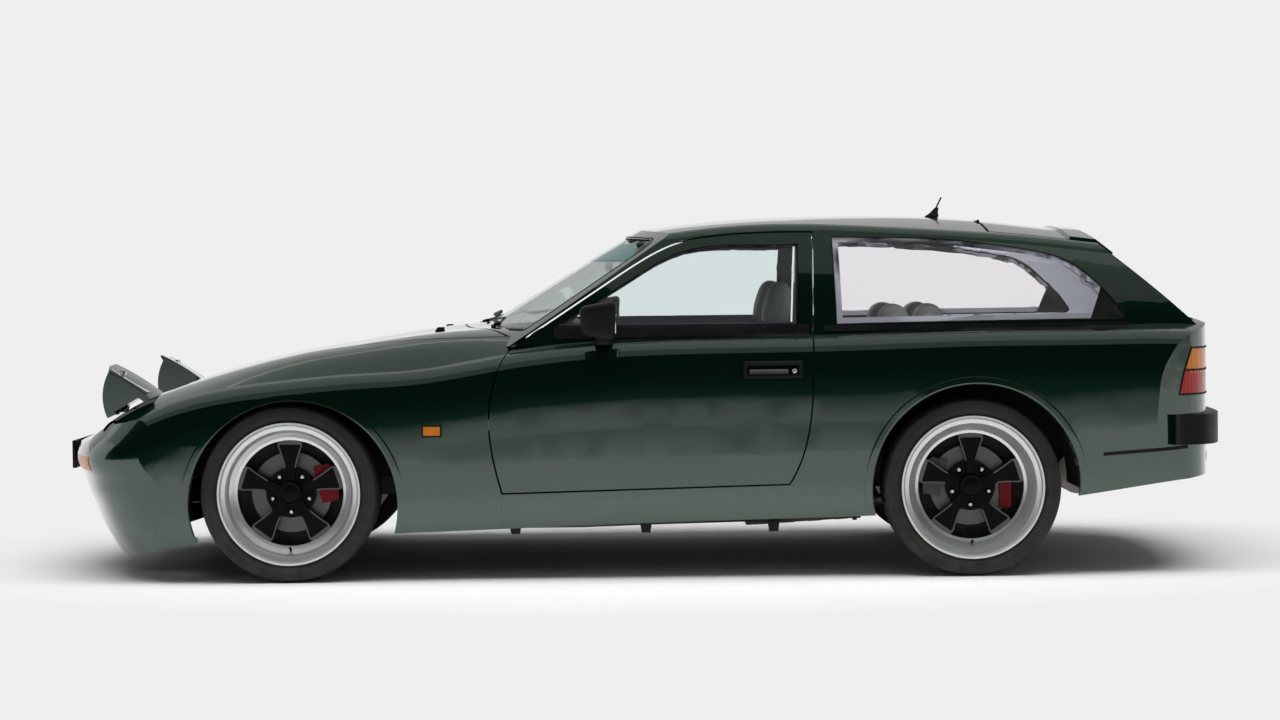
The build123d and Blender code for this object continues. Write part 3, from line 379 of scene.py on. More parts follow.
def dish(item, facing, width, step):
    """Insets the faces that pass a test and moves the inner face."""
    with picked(item, "FACE", facing):
        inset(width)
        move_by(step)


def hollow(item, facing, width, step):
    """Insets the faces that pass a test and extrudes the inner face."""
    with picked(item, "FACE", facing):
        inset(width)
        extrude_by(step)


def raise_skin(item, distance):
    """Lifts a sheet along its normals."""
    with picked(item, "FACE"):
        bpy.ops.transform.shrink_fatten(value=distance)


def modify(item, kind, **values):
    """Adds a modifier with its values and applies it."""
    activate(item)
    bpy.ops.object.modifier_add(type=kind)
    modifier = item.modifiers[-1]
    for key, value in values.items():
        setattr(modifier, key, value)
    bpy.ops.object.modifier_apply(modifier=modifier.name)
    return item


def soften(item, width, segments=2):
    """Rounds the sharp edges."""
    return modify(item, "BEVEL", width=width, segments=segments, limit_method="ANGLE", angle_limit=SHARP_EDGE)


def thicken(item, thickness, offset=-1):
    """Gives a sheet its wall, inwards unless told otherwise."""
    return modify(item, "SOLIDIFY", thickness=thickness, offset=offset)


def rows_of(elements, kind):
    """One property of mesh elements, three numbers to a row."""
    values = np.zeros(len(elements) * 3)
    elements.foreach_get(kind, values)
    return values.reshape(-1, 3)


def face_outward(item):
    """Merges doubles and points the faces out."""
    with picked(item, "FACE"):
        bpy.ops.mesh.remove_doubles(threshold=MERGE_DISTANCE)
        bpy.ops.mesh.normals_make_consistent(inside=False)
    return item


def fit(item, material, body="car", slot="cabin_trim", angle=32.0):
    """Last step of a piece: smooth shading, finish, the body that it rides on and its slot."""
    settle(item)
    bpy.ops.object.shade_smooth_by_angle(angle=math.radians(angle))
    if not item.data.materials:
        item.data.materials.append(MATERIALS[material])
    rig.ride(item, body)
    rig.slot(item, slot)
    return item


def copy_of(item, name, spin=0.0, centre=(0, 0, 0)):
    """Own copy of a piece, turned about an axle along Y."""
    twin = item.copy()
    twin.data = item.data.copy()
    twin.name = name
    twin.data.name = name
    bpy.context.scene.collection.objects.link(twin)
    turned = Matrix.Rotation(spin, 4, "Y") @ Matrix.Translation(-Vector(centre))
    twin.matrix_world = Matrix.Translation(centre) @ turned
    return settle(twin)


def mirror_all(body, *pieces):
    """Own copies of left pieces for the right side, on a body."""
    for piece in pieces:
        twin = copy_of(piece, piece.name.replace("left", "right"))
        twin.scale.y = -1
        settle(twin)
        with picked(twin, "FACE"):
            bpy.ops.mesh.normals_make_consistent(inside=False)
        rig.ride(twin, body)


def joined(items, name):
    """One piece from several."""
    clear_selection()
    for item in items:
        item.select_set(True)
    bpy.context.view_layer.objects.active = items[0]
    bpy.ops.object.join()
    whole = bpy.context.object
    whole.name = name
    whole.data.name = name
    return whole


def skin_copy(node, name, test):
    """Merged copy of a CAD node's faces that pass a test."""
    skin = NODES[node].copy()
    skin.data = NODES[node].data.copy()
    skin.name = name
    skin.data.name = name
    skin.data.materials.clear()
    bpy.context.scene.collection.objects.link(skin)
    skin.parent = None
    skin.matrix_world = Matrix.Identity(4)
    with picked(skin, "FACE"):
        bpy.ops.mesh.remove_doubles(threshold=MERGE_DISTANCE)
    with picked(skin, "FACE", lambda c, n: not test(c, n)):
        bpy.ops.mesh.delete(type="FACE")
    return skin


def tube(item, radius, segments=3):
    """Turns a chain of edges into a round bar."""
    activate(item)
    bpy.ops.object.convert(target="CURVE")
    curve = bpy.context.object.data
    curve.bevel_depth = radius
    curve.bevel_resolution = segments
    curve.use_fill_caps = True
    bpy.ops.object.convert(target="MESH")
    return face_outward(bpy.context.object)


def chain(name, points):
    """Open chain of edges through points, grown by extruding a vertex."""
    item = primitive("plane", name, size=0.01, location=points[0])
    with picked(item, "VERT", lambda co: False):
        bpy.ops.mesh.select_all(action="SELECT")
        bpy.ops.mesh.merge(type="CENTER")
        for start, end in zip(points, points[1:]):
            bpy.ops.mesh.extrude_vertices_move(TRANSFORM_OT_translate={"value": Vector(end) - Vector(start)})
    return item


def bar(name, points, radius, segments=3):
    """Round bar through points."""
    return tube(chain(name, points), radius, segments)


def smooth_bar(name, points, radius):
    """Round bar whose bends are eased."""
    return tube(modify(chain(name, points), "SUBSURF", levels=2, render_levels=2), radius)


def outline_tube(node, name, facing, radius):
    """Round seal along the edge of a pane's outward face."""
    skin = skin_copy(node, name, facing)
    with picked(skin, "FACE"):
        bpy.ops.mesh.region_to_loop()
        bpy.ops.mesh.duplicate()
        bpy.ops.mesh.select_all(action="INVERT")
        bpy.ops.mesh.delete(type="VERT")
    return tube(skin, radius)


def edge_band(node, name, facing, width):
    """Flat band of a width inside a pane's edge, laid on its outward face."""
    band = skin_copy(node, name, facing)
    with picked(band, "FACE"):
        inset(width, use_boundary=True, use_even_offset=True)
        bpy.ops.mesh.delete(type="FACE")
    raise_skin(band, 0.0006)
    return thicken(band, 0.0012)


def press_on(item, nodes, proud):
    """Presses a flat piece against CAD nodes from the left, along Y."""
    for node in nodes:
        modify(item, "SHRINKWRAP", target=NODES[node], wrap_method="PROJECT", use_project_y=True,
               use_positive_direction=True, use_negative_direction=False, offset=proud)
    return item


def sheet_on_side(name, x_range, z_range, columns, rows):
    """Upright grid beside the car's left side, to be cut and pressed on."""
    size = (x_range[1] - x_range[0], z_range[1] - z_range[0])
    place = (sum(x_range) / 2, BESIDE, sum(z_range) / 2)
    return primitive("grid", name, x_subdivisions=columns, y_subdivisions=rows, size=1, location=place,
                     rotation=ALONG_Y, scale=(*size, 1))


def trim_line(item, point, normal):
    """Cuts away what lies on the normal's side of a plane."""
    with picked(item, "FACE"):
        bpy.ops.mesh.bisect(plane_co=point, plane_no=normal, clear_outer=True)
    return item


# ------------------------------------------------------------------ shader groups
def new_group(name, inputs, outputs):
    """Shader group with its ends; inputs are (name, socket type, value), outputs (name, socket type)."""
    group = bpy.data.node_groups.new(name, "ShaderNodeTree")
    for label, kind, value in inputs:
        socket = group.interface.new_socket(name=label, in_out="INPUT", socket_type=f"NodeSocket{kind}")
        if value is not None:
            socket.default_value = value
    for label, kind in outputs:
        group.interface.new_socket(name=label, in_out="OUTPUT", socket_type=f"NodeSocket{kind}")
    return group, group.nodes.new("NodeGroupInput"), group.nodes.new("NodeGroupOutput")


def object_place(tree):
    """Object coordinates."""
    return tree.nodes.new("ShaderNodeTexCoord").outputs["Object"]


def feed(tree, value, socket):
    """Links a socket to another one, or sets it to a number or a colour."""
    if hasattr(value, "links"):
        tree.links.new(value, socket)
    elif isinstance(value, (int, float)):
        socket.default_value = value
    else:
        socket.default_value = (*value[:3], 1)


def noise(tree, scale, detail, vector, roughness=0.5):
    """Noise texture read along a vector socket."""
    node = tree.nodes.new("ShaderNodeTexNoise")
    node.inputs["Detail"].default_value = detail
    node.inputs["Roughness"].default_value = roughness
    feed(tree, scale, node.inputs["Scale"])
    tree.links.new(vector, node.inputs["Vector"])
    return node


def cell_texture(tree, scale, vector):
    """Voronoi texture read along a vector socket."""
    node = tree.nodes.new("ShaderNodeTexVoronoi")
    tree.links.new(scale, node.inputs["Scale"])
    tree.links.new(vector, node.inputs["Vector"])
    return node


def blend_colour(tree, share, first, second):
    """Mix of two colours; each is a socket or a colour."""
    node = tree.nodes.new("ShaderNodeMix")
    node.data_type = "RGBA"
    for value, number in ((share, 0), (first, 6), (second, 7)):
        feed(tree, value, node.inputs[number])
    return node.outputs[2]


def remap(tree, value, low, high, new_low, new_high):
    """Value moved from one range to another, clamped."""
    node = tree.nodes.new("ShaderNodeMapRange")
    for socket, number in zip(list(node.inputs)[1:5], (low, high, new_low, new_high)):
        feed(tree, number, socket)
    tree.links.new(value, node.inputs["Value"])
    return node.outputs["Result"]


def calculate(tree, operation, first, second):
    """Math node; each value is a socket or a number."""
    node = tree.nodes.new("ShaderNodeMath")
    node.operation = operation
    for value, socket in zip((first, second), node.inputs):
        feed(tree, value, socket)
    return node.outputs[0]


def vector_step(tree, operation, first, second=None):
    """Vector Math node; the second value is a socket or a fixed vector."""
    node = tree.nodes.new("ShaderNodeVectorMath")
    node.operation = operation
    tree.links.new(first, node.inputs[0])
    if hasattr(second, "links"):
        tree.links.new(second, node.inputs[1])
    elif second:
        node.inputs[1].default_value = second
    return node


def glow_node(tree, level):
    """Emission shader of an even grey."""
    node = tree.nodes.new("ShaderNodeEmission")
    node.inputs["Color"].default_value = (level, level, level, 1)
    return node


def surface_link(tree, shader):
    """Makes a shader the material's surface."""
    tree.links.new(shader.outputs[0], tree.nodes["Material Output"].inputs["Surface"])


def build_flake_group():
    """Metal flakes and slow haze in paint: two colours in, one out, with a roughness."""
    group, source, sink = new_group(
        "paint_flake",
        [("Colour", "Color", (0, 0, 0, 1)), ("Flake Colour", "Color", (0, 0, 0, 1)),
         ("Flake Scale", "Float", 900.0), ("Roughness", "Float", 0.3)],
        [("Colour", "Color"), ("Roughness", "Float")])
    place = object_place(group)
    cells = cell_texture(group, source.outputs["Flake Scale"], place)
    spark = group.nodes.new("ShaderNodeSeparateColor")
    group.links.new(cells.outputs["Color"], spark.inputs["Color"])
    share = remap(group, spark.outputs[0], 0.55, 1.0, 0.0, 0.55)
    haze = noise(group, 1.3, 3.0, place)
    tone = blend_colour(group, share, source.outputs["Colour"], source.outputs["Flake Colour"])
    group.links.new(tone, sink.inputs["Colour"])
    uneven = remap(group, haze.outputs["Fac"], 0.3, 0.7, 0.92, 1.08)
    roughness = calculate(group, "MULTIPLY", source.outputs["Roughness"], uneven)
    group.links.new(roughness, sink.inputs["Roughness"])
    return group


def build_grain_group():
    """Pebbled grain of moulded plastic and hide: a height, and a mask of worn places."""
    group, source, sink = new_group(
        "moulded_grain", [("Scale", "Float", 500.0), ("Wear Scale", "Float", 6.0)],
        [("Height", "Float"), ("Wear", "Float")])
    place = object_place(group)
    cells = cell_texture(group, source.outputs["Scale"], place)
    cells.feature = "SMOOTH_F1"
    group.links.new(cells.outputs["Distance"], sink.inputs["Height"])
    worn = noise(group, source.outputs["Wear Scale"], 5.0, place, 0.6)
    group.links.new(remap(group, worn.outputs["Fac"], 0.42, 0.68, 0.0, 1.0), sink.inputs["Wear"])
    return group


def build_dust_group():
    """Road dust that thins out with height: a mask from 0 to 1."""
    group, source, sink = new_group(
        "road_dust", [("Top Height", "Float", 0.5), ("Amount", "Float", 0.5)],
        [("Mask", "Float")])
    place = object_place(group)
    parts = group.nodes.new("ShaderNodeSeparateXYZ")
    group.links.new(place, parts.inputs[0])
    fall = remap(group, parts.outputs["Z"], 0.05, source.outputs["Top Height"], 1.0, 0.0)
    speckle = noise(group, 14.0, 8.0, place, 0.65)
    patch = remap(group, speckle.outputs["Fac"], 0.38, 0.72, 0.15, 1.0)
    mask = calculate(group, "MULTIPLY", calculate(group, "MULTIPLY", fall, patch), source.outputs["Amount"])
    group.links.new(mask, sink.inputs["Mask"])
    return group


def build_brushed_group():
    """Turned or brushed metal: fine rings about an axle, as a roughness and a height."""
    group, source, sink = new_group(
        "turned_metal",
        [("Centre", "Vector", None), ("Ring Scale", "Float", 500.0),
         ("Roughness", "Float", 0.25)],
        [("Height", "Float"), ("Roughness", "Float")])
    place = object_place(group)
    shift = vector_step(group, "SUBTRACT", place, source.outputs["Centre"])
    flat = vector_step(group, "MULTIPLY", shift.outputs[0], (1, 0, 1))
    length = vector_step(group, "LENGTH", flat.outputs[0])
    rings = group.nodes.new("ShaderNodeTexNoise")
    rings.noise_dimensions = "1D"
    rings.inputs["Detail"].default_value = 3.0
    group.links.new(calculate(group, "MULTIPLY", length.outputs["Value"], source.outputs["Ring Scale"]),
                    rings.inputs["W"])
    group.links.new(rings.outputs["Fac"], sink.inputs["Height"])
    uneven = remap(group, rings.outputs["Fac"], 0.3, 0.7, 0.75, 1.3)
    roughness = calculate(group, "MULTIPLY", source.outputs["Roughness"], uneven)
    group.links.new(roughness, sink.inputs["Roughness"])
    return group


def build_weave_group():
    """Looped carpet or cloth: a height from two crossed waves, and a shade from the same tufts times a slow random
    drift, so the low places of the pile are darker as painted shade.
    """
    group, source, sink = new_group(
        "loop_weave", [("Scale", "Float", 300.0)], [("Height", "Float"),
                                                             ("Shade", "Float")])
    place = object_place(group)
    tuft = noise(group, source.outputs["Scale"], 2.0, place, 0.7)
    broad = noise(group, 9.0, 4.0, place)
    group.links.new(tuft.outputs["Fac"], sink.inputs["Height"])
    drift = remap(group, broad.outputs["Fac"], 0.3, 0.7, 0.8, 1.2)
    shade = calculate(group, "MULTIPLY", tuft.outputs["Fac"], drift)
    group.links.new(shade, sink.inputs["Shade"])
    return group


GROUPS = {}


def build_groups():
    """Makes every shared shader group once."""
    for key, build in (("flake", build_flake_group), ("grain", build_grain_group), ("dust", build_dust_group),
                       ("turned", build_brushed_group), ("weave", build_weave_group)):
        GROUPS[key] = build()


# ------------------------------------------------------------------ materials
MATERIALS = {}


def new_material(name, metallic=0.0, roughness=0.5, coat=0.0, coat_roughness=0.03, specular=0.5):
    """Material with one Principled shader, its constant values set on the shader's own sockets."""
    material = bpy.data.materials.new(name)
    material.use_nodes = True
    shader = material.node_tree.nodes["Principled BSDF"]
    for label, value in (("Metallic", metallic), ("Roughness", roughness), ("Coat Weight", coat),
                         ("Coat Roughness", coat_roughness), ("Specular IOR Level", specular)):
        shader.inputs[label].default_value = value
    MATERIALS[name] = material
    return material.node_tree, shader


def use_group(tree, key, **values):
    """Places a shared group in a material with its own values."""
    node = tree.nodes.new("ShaderNodeGroup")
    node.node_tree = GROUPS[key]
    for label, value in values.items():
        node.inputs[label.replace("_", " ")].default_value = value
    return node


def bump(tree, shader, height, distance):
    """Feeds a height to the shader's normal."""
    node = tree.nodes.new("ShaderNodeBump")
    node.inputs["Strength"].default_value = 1.0
    node.inputs["Distance"].default_value = distance
    tree.links.new(height, node.inputs["Height"])
    tree.links.new(node.outputs["Normal"], shader.inputs["Normal"])


def dusty(tree, shader, colour, dust_colour=(0.16, 0.15, 0.13), top=0.5, amount=0.3):
    """Base colour under a veil of road dust."""
    mask = use_group(tree, "dust", Top_Height=top, Amount=amount).outputs["Mask"]
    tree.links.new(blend_colour(tree, mask, colour, dust_colour), shader.inputs["Base Color"])


def flake_material(name, settings, dust, roughness, coat, **values):
    """Green metallic paint under clear coat and a veil of dust; dust gives its colour, top and amount."""
    tree, shader = new_material(name, roughness=roughness, coat=coat, **values)
    flake = use_group(tree, "flake", Colour=(*settings.colour, 1), Flake_Colour=(*settings.sheen_colour, 1),
                      Flake_Scale=1 / settings.flake_size, Roughness=roughness)
    dusty(tree, shader, flake.outputs["Colour"], *dust)
    tree.links.new(flake.outputs["Roughness"], shader.inputs["Roughness"])
    return shader


def grained_material(name, colour, worn_colour, scale, depth, roughness, dust=0.0, **values):
    """Moulded or grained surface with a worn tone."""
    tree, shader = new_material(name, roughness=roughness, coat_roughness=0.2, **values)
    grain = use_group(tree, "grain", Scale=scale)
    tone = blend_colour(tree, grain.outputs["Wear"], colour, worn_colour)
    if dust:
        dusty(tree, shader, tone, top=0.6, amount=dust)
    else:
        tree.links.new(tone, shader.inputs["Base Color"])
    rough = remap(tree, grain.outputs["Wear"], 0.0, 1.0, roughness, min(1.0, roughness * 1.25))
    tree.links.new(rough, shader.inputs["Roughness"])
    bump(tree, shader, grain.outputs["Height"], depth)


def turned_material(name, colour, centre, roughness, rings=700.0, depth=0.00004, metallic=1.0):
    """Metal turned about an axle."""
    tree, shader = new_material(name, metallic, roughness)
    rings_node = use_group(tree, "turned", Centre=centre, Ring_Scale=rings, Roughness=roughness)
    tone = blend_colour(tree, rings_node.outputs["Height"], tuple(0.82 * c for c in colour), colour)
    tree.links.new(tone, shader.inputs["Base Color"])
    tree.links.new(rings_node.outputs["Roughness"], shader.inputs["Roughness"])
    bump(tree, shader, rings_node.outputs["Height"], depth)


def glass_material(name, tint, roughness=0.0, transmission=1.0):
    """Clear safety glass with a faint film of haze in its tint."""
    tree, shader = new_material(name, 0.0, roughness)
    shader.inputs["Transmission Weight"].default_value = transmission
    shader.inputs["IOR"].default_value = 1.45
    place = object_place(tree)
    film = noise(tree, 3.0, 4.0, place)
    tone = blend_colour(tree, film.outputs["Fac"], tuple(0.97 * c for c in tint), tint)
    tree.links.new(tone, shader.inputs["Base Color"])


def lens_material(name, colour):
    """Moulded lamp lens with fine vertical ribs."""
    tree, shader = new_material(name, 0.0, 0.08)
    shader.inputs["Transmission Weight"].default_value = 0.3
    shader.inputs["IOR"].default_value = 1.49
    ribs = tree.nodes.new("ShaderNodeTexWave")
    ribs.bands_direction = "Y"
    ribs.inputs["Scale"].default_value = 36.0
    tree.links.new(object_place(tree), ribs.inputs["Vector"])
    tone = blend_colour(tree, ribs.outputs["Fac"], tuple(0.85 * c for c in colour), colour)
    tree.links.new(tone, shader.inputs["Base Color"])
    bump(tree, shader, ribs.outputs["Fac"], 0.0006)


def weave_material(name, colour, scale, depth):
    """Carpet or cloth; its low tufts are darker as painted shade, and its tone drifts at random."""
    tree, shader = new_material(name, 0.0, 0.95, specular=0.2)
    weave = use_group(tree, "weave", Scale=scale)
    tone = blend_colour(tree, weave.outputs["Shade"], tuple(0.5 * c for c in colour),
                        tuple(1.5 * c for c in colour))
    tree.links.new(tone, shader.inputs["Base Color"])
    bump(tree, shader, weave.outputs["Height"], depth)


# Colour, worn colour, grain scale, grain depth, roughness and what else differs from the plain values.
GRAINED = {
    "satin_black_trim": ((0.005, 0.006, 0.006), (0.010, 0.010, 0.010), 900.0, 0.00012, 0.42,
                         {"specular": 0.16}),
    "window_rubber": ((0.005, 0.005, 0.006), (0.010, 0.010, 0.010), 1400.0, 0.00005, 0.6, {"specular": 0.16}),
    "tyre_rubber": ((0.016, 0.016, 0.017), (0.030, 0.029, 0.028), 1600.0, 0.00006, 0.68,
                    {"dust": 0.25, "specular": 0.3}),
    "satin_black_spokes": ((0.002, 0.002, 0.003), (0.004, 0.004, 0.005), 1500.0, 0.00003, 0.34,
                           {"specular": 0.10}),
    "cast_metal": ((0.075, 0.075, 0.078), (0.12, 0.12, 0.12), 420.0, 0.0004, 0.6,
                   {"metallic": 0.6, "dust": 0.4}),
    "sealed_steel": ((0.012, 0.012, 0.012), (0.03, 0.028, 0.026), 160.0, 0.0006, 0.85, {"dust": 0.35}),
    "dull_exhaust_steel": ((0.30, 0.28, 0.26), (0.16, 0.12, 0.09), 240.0, 0.0003, 0.45,
                           {"metallic": 1.0, "dust": 0.3}),
    "cabin_plastic": ((0.014, 0.014, 0.015), (0.024, 0.024, 0.025), 620.0, 0.00025, 0.55, {}),
    "seat_hide": ((0.028, 0.029, 0.029), (0.048, 0.048, 0.046), 480.0, 0.0003, 0.45, {}),
    "bright_trim": ((0.62, 0.62, 0.63), (0.50, 0.50, 0.51), 900.0, 0.00002, 0.18, {"metallic": 1.0}),
    "smoked_metal": ((0.11, 0.11, 0.115), (0.16, 0.16, 0.165), 900.0, 0.00002, 0.34, {"metallic": 0.9}),
    "hose_rubber": ((0.013, 0.013, 0.013), (0.024, 0.023, 0.022), 800.0, 0.0001, 0.7, {"dust": 0.3}),
    "dial_face": ((0.006, 0.006, 0.007), (0.009, 0.009, 0.010), 900.0, 0.00001, 0.3, {}),
    "dial_marks": ((0.60, 0.58, 0.50), (0.52, 0.50, 0.44), 900.0, 0.00001, 0.5, {}),
    "heater_lines": ((0.10, 0.055, 0.035), (0.13, 0.075, 0.05), 900.0, 0.00001, 0.5, {}),
    # Pillar and roof side trim: pale grey-blue cloth made near white, so its colour also carries painted light from
    # the windows.
    "pale_pillar_trim": ((0.72, 0.75, 0.84), (0.64, 0.67, 0.76), 700.0, 0.0002, 0.6, {}),
    "glass_band": ((0.045, 0.045, 0.055), (0.055, 0.055, 0.065), 1200.0, 0.00002, 0.12, {}),
    "tank_plastic": ((0.50, 0.48, 0.40), (0.42, 0.39, 0.31), 500.0, 0.0001, 0.5, {"dust": 0.2}),
}


def build_materials(scene):
    """Makes every material once."""
    build_groups()
    paint, trim = scene.coupe_paint, scene.coupe_trim
    polished = flake_material("green_metallic_paint", paint, ((0.10, 0.11, 0.10), 0.34, 0.10),
                              paint.roughness, 1.0, metallic=0.85, coat_roughness=0.012)
    polished.inputs["Coat IOR"].default_value = 1.85
    flake_material("green_jamb_paint", paint, ((0.08, 0.08, 0.07), 0.8, 0.35), 0.5, 0.4, metallic=0.3,
                   coat_roughness=0.2)
    # The calipers' real red enamel, darkened as painted shade of the wheel.
    enamel = tuple(trim.caliper_colour)
    grained_material("caliper_enamel", enamel, tuple(0.8 * c for c in enamel), 300.0, 0.0001, 0.5,
                     specular=0.2)
    for name, (colour, worn_colour, scale, depth, roughness, values) in GRAINED.items():
        grained_material(name, colour, worn_colour, scale, depth, roughness, **values)
    glass_material("shade_band_film", (0.02, 0.42, 0.38))
    weave_material("floor_carpet", (0.020, 0.020, 0.022), 420.0, 0.0012)
    weave_material("roof_lining", (0.050, 0.050, 0.052), 900.0, 0.0003)
    glass_material("side_glass", tuple(trim.glass_tint))
    glass_material("quarter_glass", (0.995, 0.985, 1.0))
    glass_material("violet_band", (0.58, 0.59, 0.67), 0.4, 0.65)
    glass_material("screen_glass", (0.76, 0.85, 0.81))
    glass_material("lamp_glass", (0.95, 0.96, 0.96))
    lens_material("amber_lens", (0.90, 0.28, 0.01))
    lens_material("red_lens", (0.55, 0.008, 0.01))
    turned_material("lamp_mirror", (0.86, 0.87, 0.88), lamp_middle("left"), 0.08, 200.0)
    for name in WHEEL_NODES:
        centre = middle(f"tyre_{name}")
        turned_material(f"polished_lip_{name}", (0.86, 0.87, 0.88), centre, 0.30, metallic=0.72)
        turned_material(f"brake_iron_{name}", (0.16, 0.16, 0.165), centre, 0.42, 900.0, 0.0001)


# ------------------------------------------------------------------ finishing CAD nodes
def finish_node(node, base, *rules):
    """Gives a CAD node a base material and others where a test on (centres, normals) says so."""
    item = NODES[node]
    item.data.materials.clear()
    for name in (base, *[rule[0] for rule in rules]):
        item.data.materials.append(MATERIALS[name])
    if not rules:
        item.data.polygons.foreach_set("material_index", np.zeros(len(item.data.polygons), dtype=np.int32))
        return
    centres, normals = (rows_of(item.data.polygons, kind) for kind in ("center", "normal"))
    index = np.zeros(len(centres), dtype=np.int32)
    for number, (_, test) in enumerate(rules, start=1):
        index[test(centres, normals)] = number
    item.data.polygons.foreach_set("material_index", index)
    item.data.update()


def faces_in(centres, normals):
    """Faces that look towards the car's centre plane."""
    return normals[:, 1] * np.sign(centres[:, 1]) < -0.25


def radius_about(centre, centres):
    """Distance of each face from an axle."""
    return np.hypot(centres[:, 0] - centre.x, centres[:, 2] - centre.z)


def on_caliper(centres, hub):
    """Caliper faces, told from the upright by their distance from the axle and from the centre plane."""
    across = abs(abs(centres[:, 1]) - abs(hub.y)) < 0.036
    return across & (np.abs(centres[:, 2] - hub.z) < 0.110) & (radius_about(hub, centres) > 0.092)


BULKHEAD_X = -0.64
TAIL_X = 1.95
WAIST_Z = 0.88


def cabin_side(centres):
    """Places between the front bulkhead and the tail panel."""
    return (centres[:, 0] > BULKHEAD_X) & (centres[:, 0] < TAIL_X)


def carpeted(centres, normals):
    """Floor pan faces that look into the cabin or the load space."""
    footwell = (centres[:, 0] > -0.645) & (centres[:, 0] < 0.77) & (centres[:, 2] > 0.188)
    shelf = (centres[:, 0] > 0.76) & (centres[:, 2] > 0.43) & (normals[:, 2] > 0.3)
    return (footwell & (normals[:, 2] > -0.1)) | shelf


class COUPE_OT_paint_body(bpy.types.Operator):
    """Paint the outer panels and finish their inner faces"""

    bl_idname = "coupe.paint_body"
    bl_label = "Body panels"

    def execute(self, context):
        outer = "green_metallic_paint"
        for node in ("bonnet", "front_bumper", "rear_bumper", "rear_valance", "tail_panel", "scuttle_panel",
                     "front_wing_left", "front_wing_right", "chin_spoiler"):
            finish_node(node, outer)
        for side in SIDES:
            # Inner pillar and roof side faces take the near-white trim, whose brightness is partly painted light.
            finish_node(f"side_panel_{side}", outer,
                        ("cabin_plastic", lambda c, n: faces_in(c, n) & cabin_side(c)),
                        ("pale_pillar_trim", lambda c, n: faces_in(c, n) & (c[:, 2] > WAIST_Z)
                         & ((c[:, 2] > 1.035) | (c[:, 0] > 0.95))))
            finish_node(f"door_{side}", outer, ("cabin_plastic", faces_in),
                        ("satin_black_trim", lambda c, n: faces_in(c, n) & (c[:, 2] > WAIST_Z)))
            finish_node(f"headlamp_pod_{side}", outer)
        finish_node("roof_panel", outer, ("roof_lining", lambda c, n: n[:, 2] < -0.3))
        finish_node("tailgate", outer, ("cabin_plastic", lambda c, n: n[:, 2] < -0.3))
        for node in ("bumper_pads", "wiper_arms", "antenna",
                     "door_handle_left", "door_handle_right", "door_mirror_left", "door_mirror_right"):
            finish_node(node, "satin_black_trim")
        finish_node("tailgate_spoiler", outer)
        return {"FINISHED"}


class COUPE_OT_glaze(bpy.types.Operator):
    """Finish windows and lamp lenses"""

    bl_idname = "coupe.glaze"
    bl_label = "Glass and lenses"

    def execute(self, context):
        for node in ("door_glass_left", "door_glass_right"):
            finish_node(node, "side_glass")
        for node in ("rear_side_windows", "tailgate_glass"):
            finish_node(node, "quarter_glass")
        finish_node("windscreen", "screen_glass")
        for side in SIDES:
            finish_node(f"headlamp_lens_{side}", "lamp_glass")
        finish_node("indicator_lamps", "amber_lens")
        finish_node("tail_lamps", "red_lens", ("amber_lens", lambda c, n: c[:, 2] > 0.712))
        return {"FINISHED"}


# Rim and disc measures: radii about the axle, and how far the spokes' faces stand out of the wheel's middle.
LIP_RADIUS = 0.1875
DISC_RADIUS = 0.1435
HUB_RADIUS = 0.0885
PETAL_FACE = 0.0414


class COUPE_OT_finish_wheels(bpy.types.Operator):
    """Finish tyres, rims, brakes and running gear"""

    bl_idname = "coupe.finish_wheels"
    bl_label = "Wheels and running gear"

    def execute(self, context):
        for name in WHEEL_NODES:
            centre = middle(f"tyre_{name}")
            finish_node(f"tyre_{name}", "tyre_rubber")
            outward = SIDE_SIGN[name.split("_")[1]]

            def lip(c, n, centre=centre):
                return radius_about(centre, c) > LIP_RADIUS

            def disc(c, n, centre=centre, outward=outward):
                out = outward * c[:, 1] - abs(centre.y)
                return (out < -0.003) & (radius_about(centre, c) < DISC_RADIUS)

            def petal_edge(c, n, centre=centre, outward=outward):
                out = outward * c[:, 1] - abs(centre.y)
                return (out > PETAL_FACE) & (radius_about(centre, c) > HUB_RADIUS) & (outward * n[:, 1] > 0.9)

            finish_node(f"rim_{name}", "satin_black_spokes", ("smoked_metal", petal_edge),
                        (f"polished_lip_{name}", lip), (f"brake_iron_{name}", disc))
        for node in ("front_suspension", "engine_and_transaxle"):
            finish_node(node, "cast_metal")
        for side in SIDES:
            hub = middle(f"tyre_front_{side}")
            finish_node(f"steering_knuckle_{side}", "cast_metal",
                        ("caliper_enamel", lambda c, n, hub=hub: on_caliper(c, hub)))
        finish_node("rear_suspension", "cast_metal")
        finish_node("exhaust_system", "dull_exhaust_steel")
        finish_node("floor_pan", "sealed_steel", ("floor_carpet", carpeted))
        return {"FINISHED"}


class COUPE_OT_trim_cabin(bpy.types.Operator):
    """Finish the cabin's hard parts"""

    bl_idname = "coupe.trim_cabin"
    bl_label = "Cabin"

    def execute(self, context):
        finish_node("dashboard", "cabin_plastic")
        for node in ("steering_wheel", "front_seats", "rear_seat"):
            finish_node(node, "seat_hide")
        return {"FINISHED"}


# ------------------------------------------------------------------ exterior trim
def side_face(c, n):
    """Faces that look away from the car's centre plane."""
    return n.y * c.y > 0 and abs(n.y) > 0.5


def screen_face(c, n):
    """Faces of the windscreen that look ahead."""
    return n.x < -0.2 and n.z > 0.1


def seal_pane(name, node, body, width, facing=side_face, tube_radius=0.0045, finish="glass_band"):
    """Rubber round a pane and the dark band printed inside its edge."""
    seal = outline_tube(node, f"{name}_seal", facing, tube_radius)
    fit(seal, "window_rubber", body, "black_trim")
    band = edge_band(node, f"{name}_band", facing, width)
    fit(band, finish, body, "black_trim")


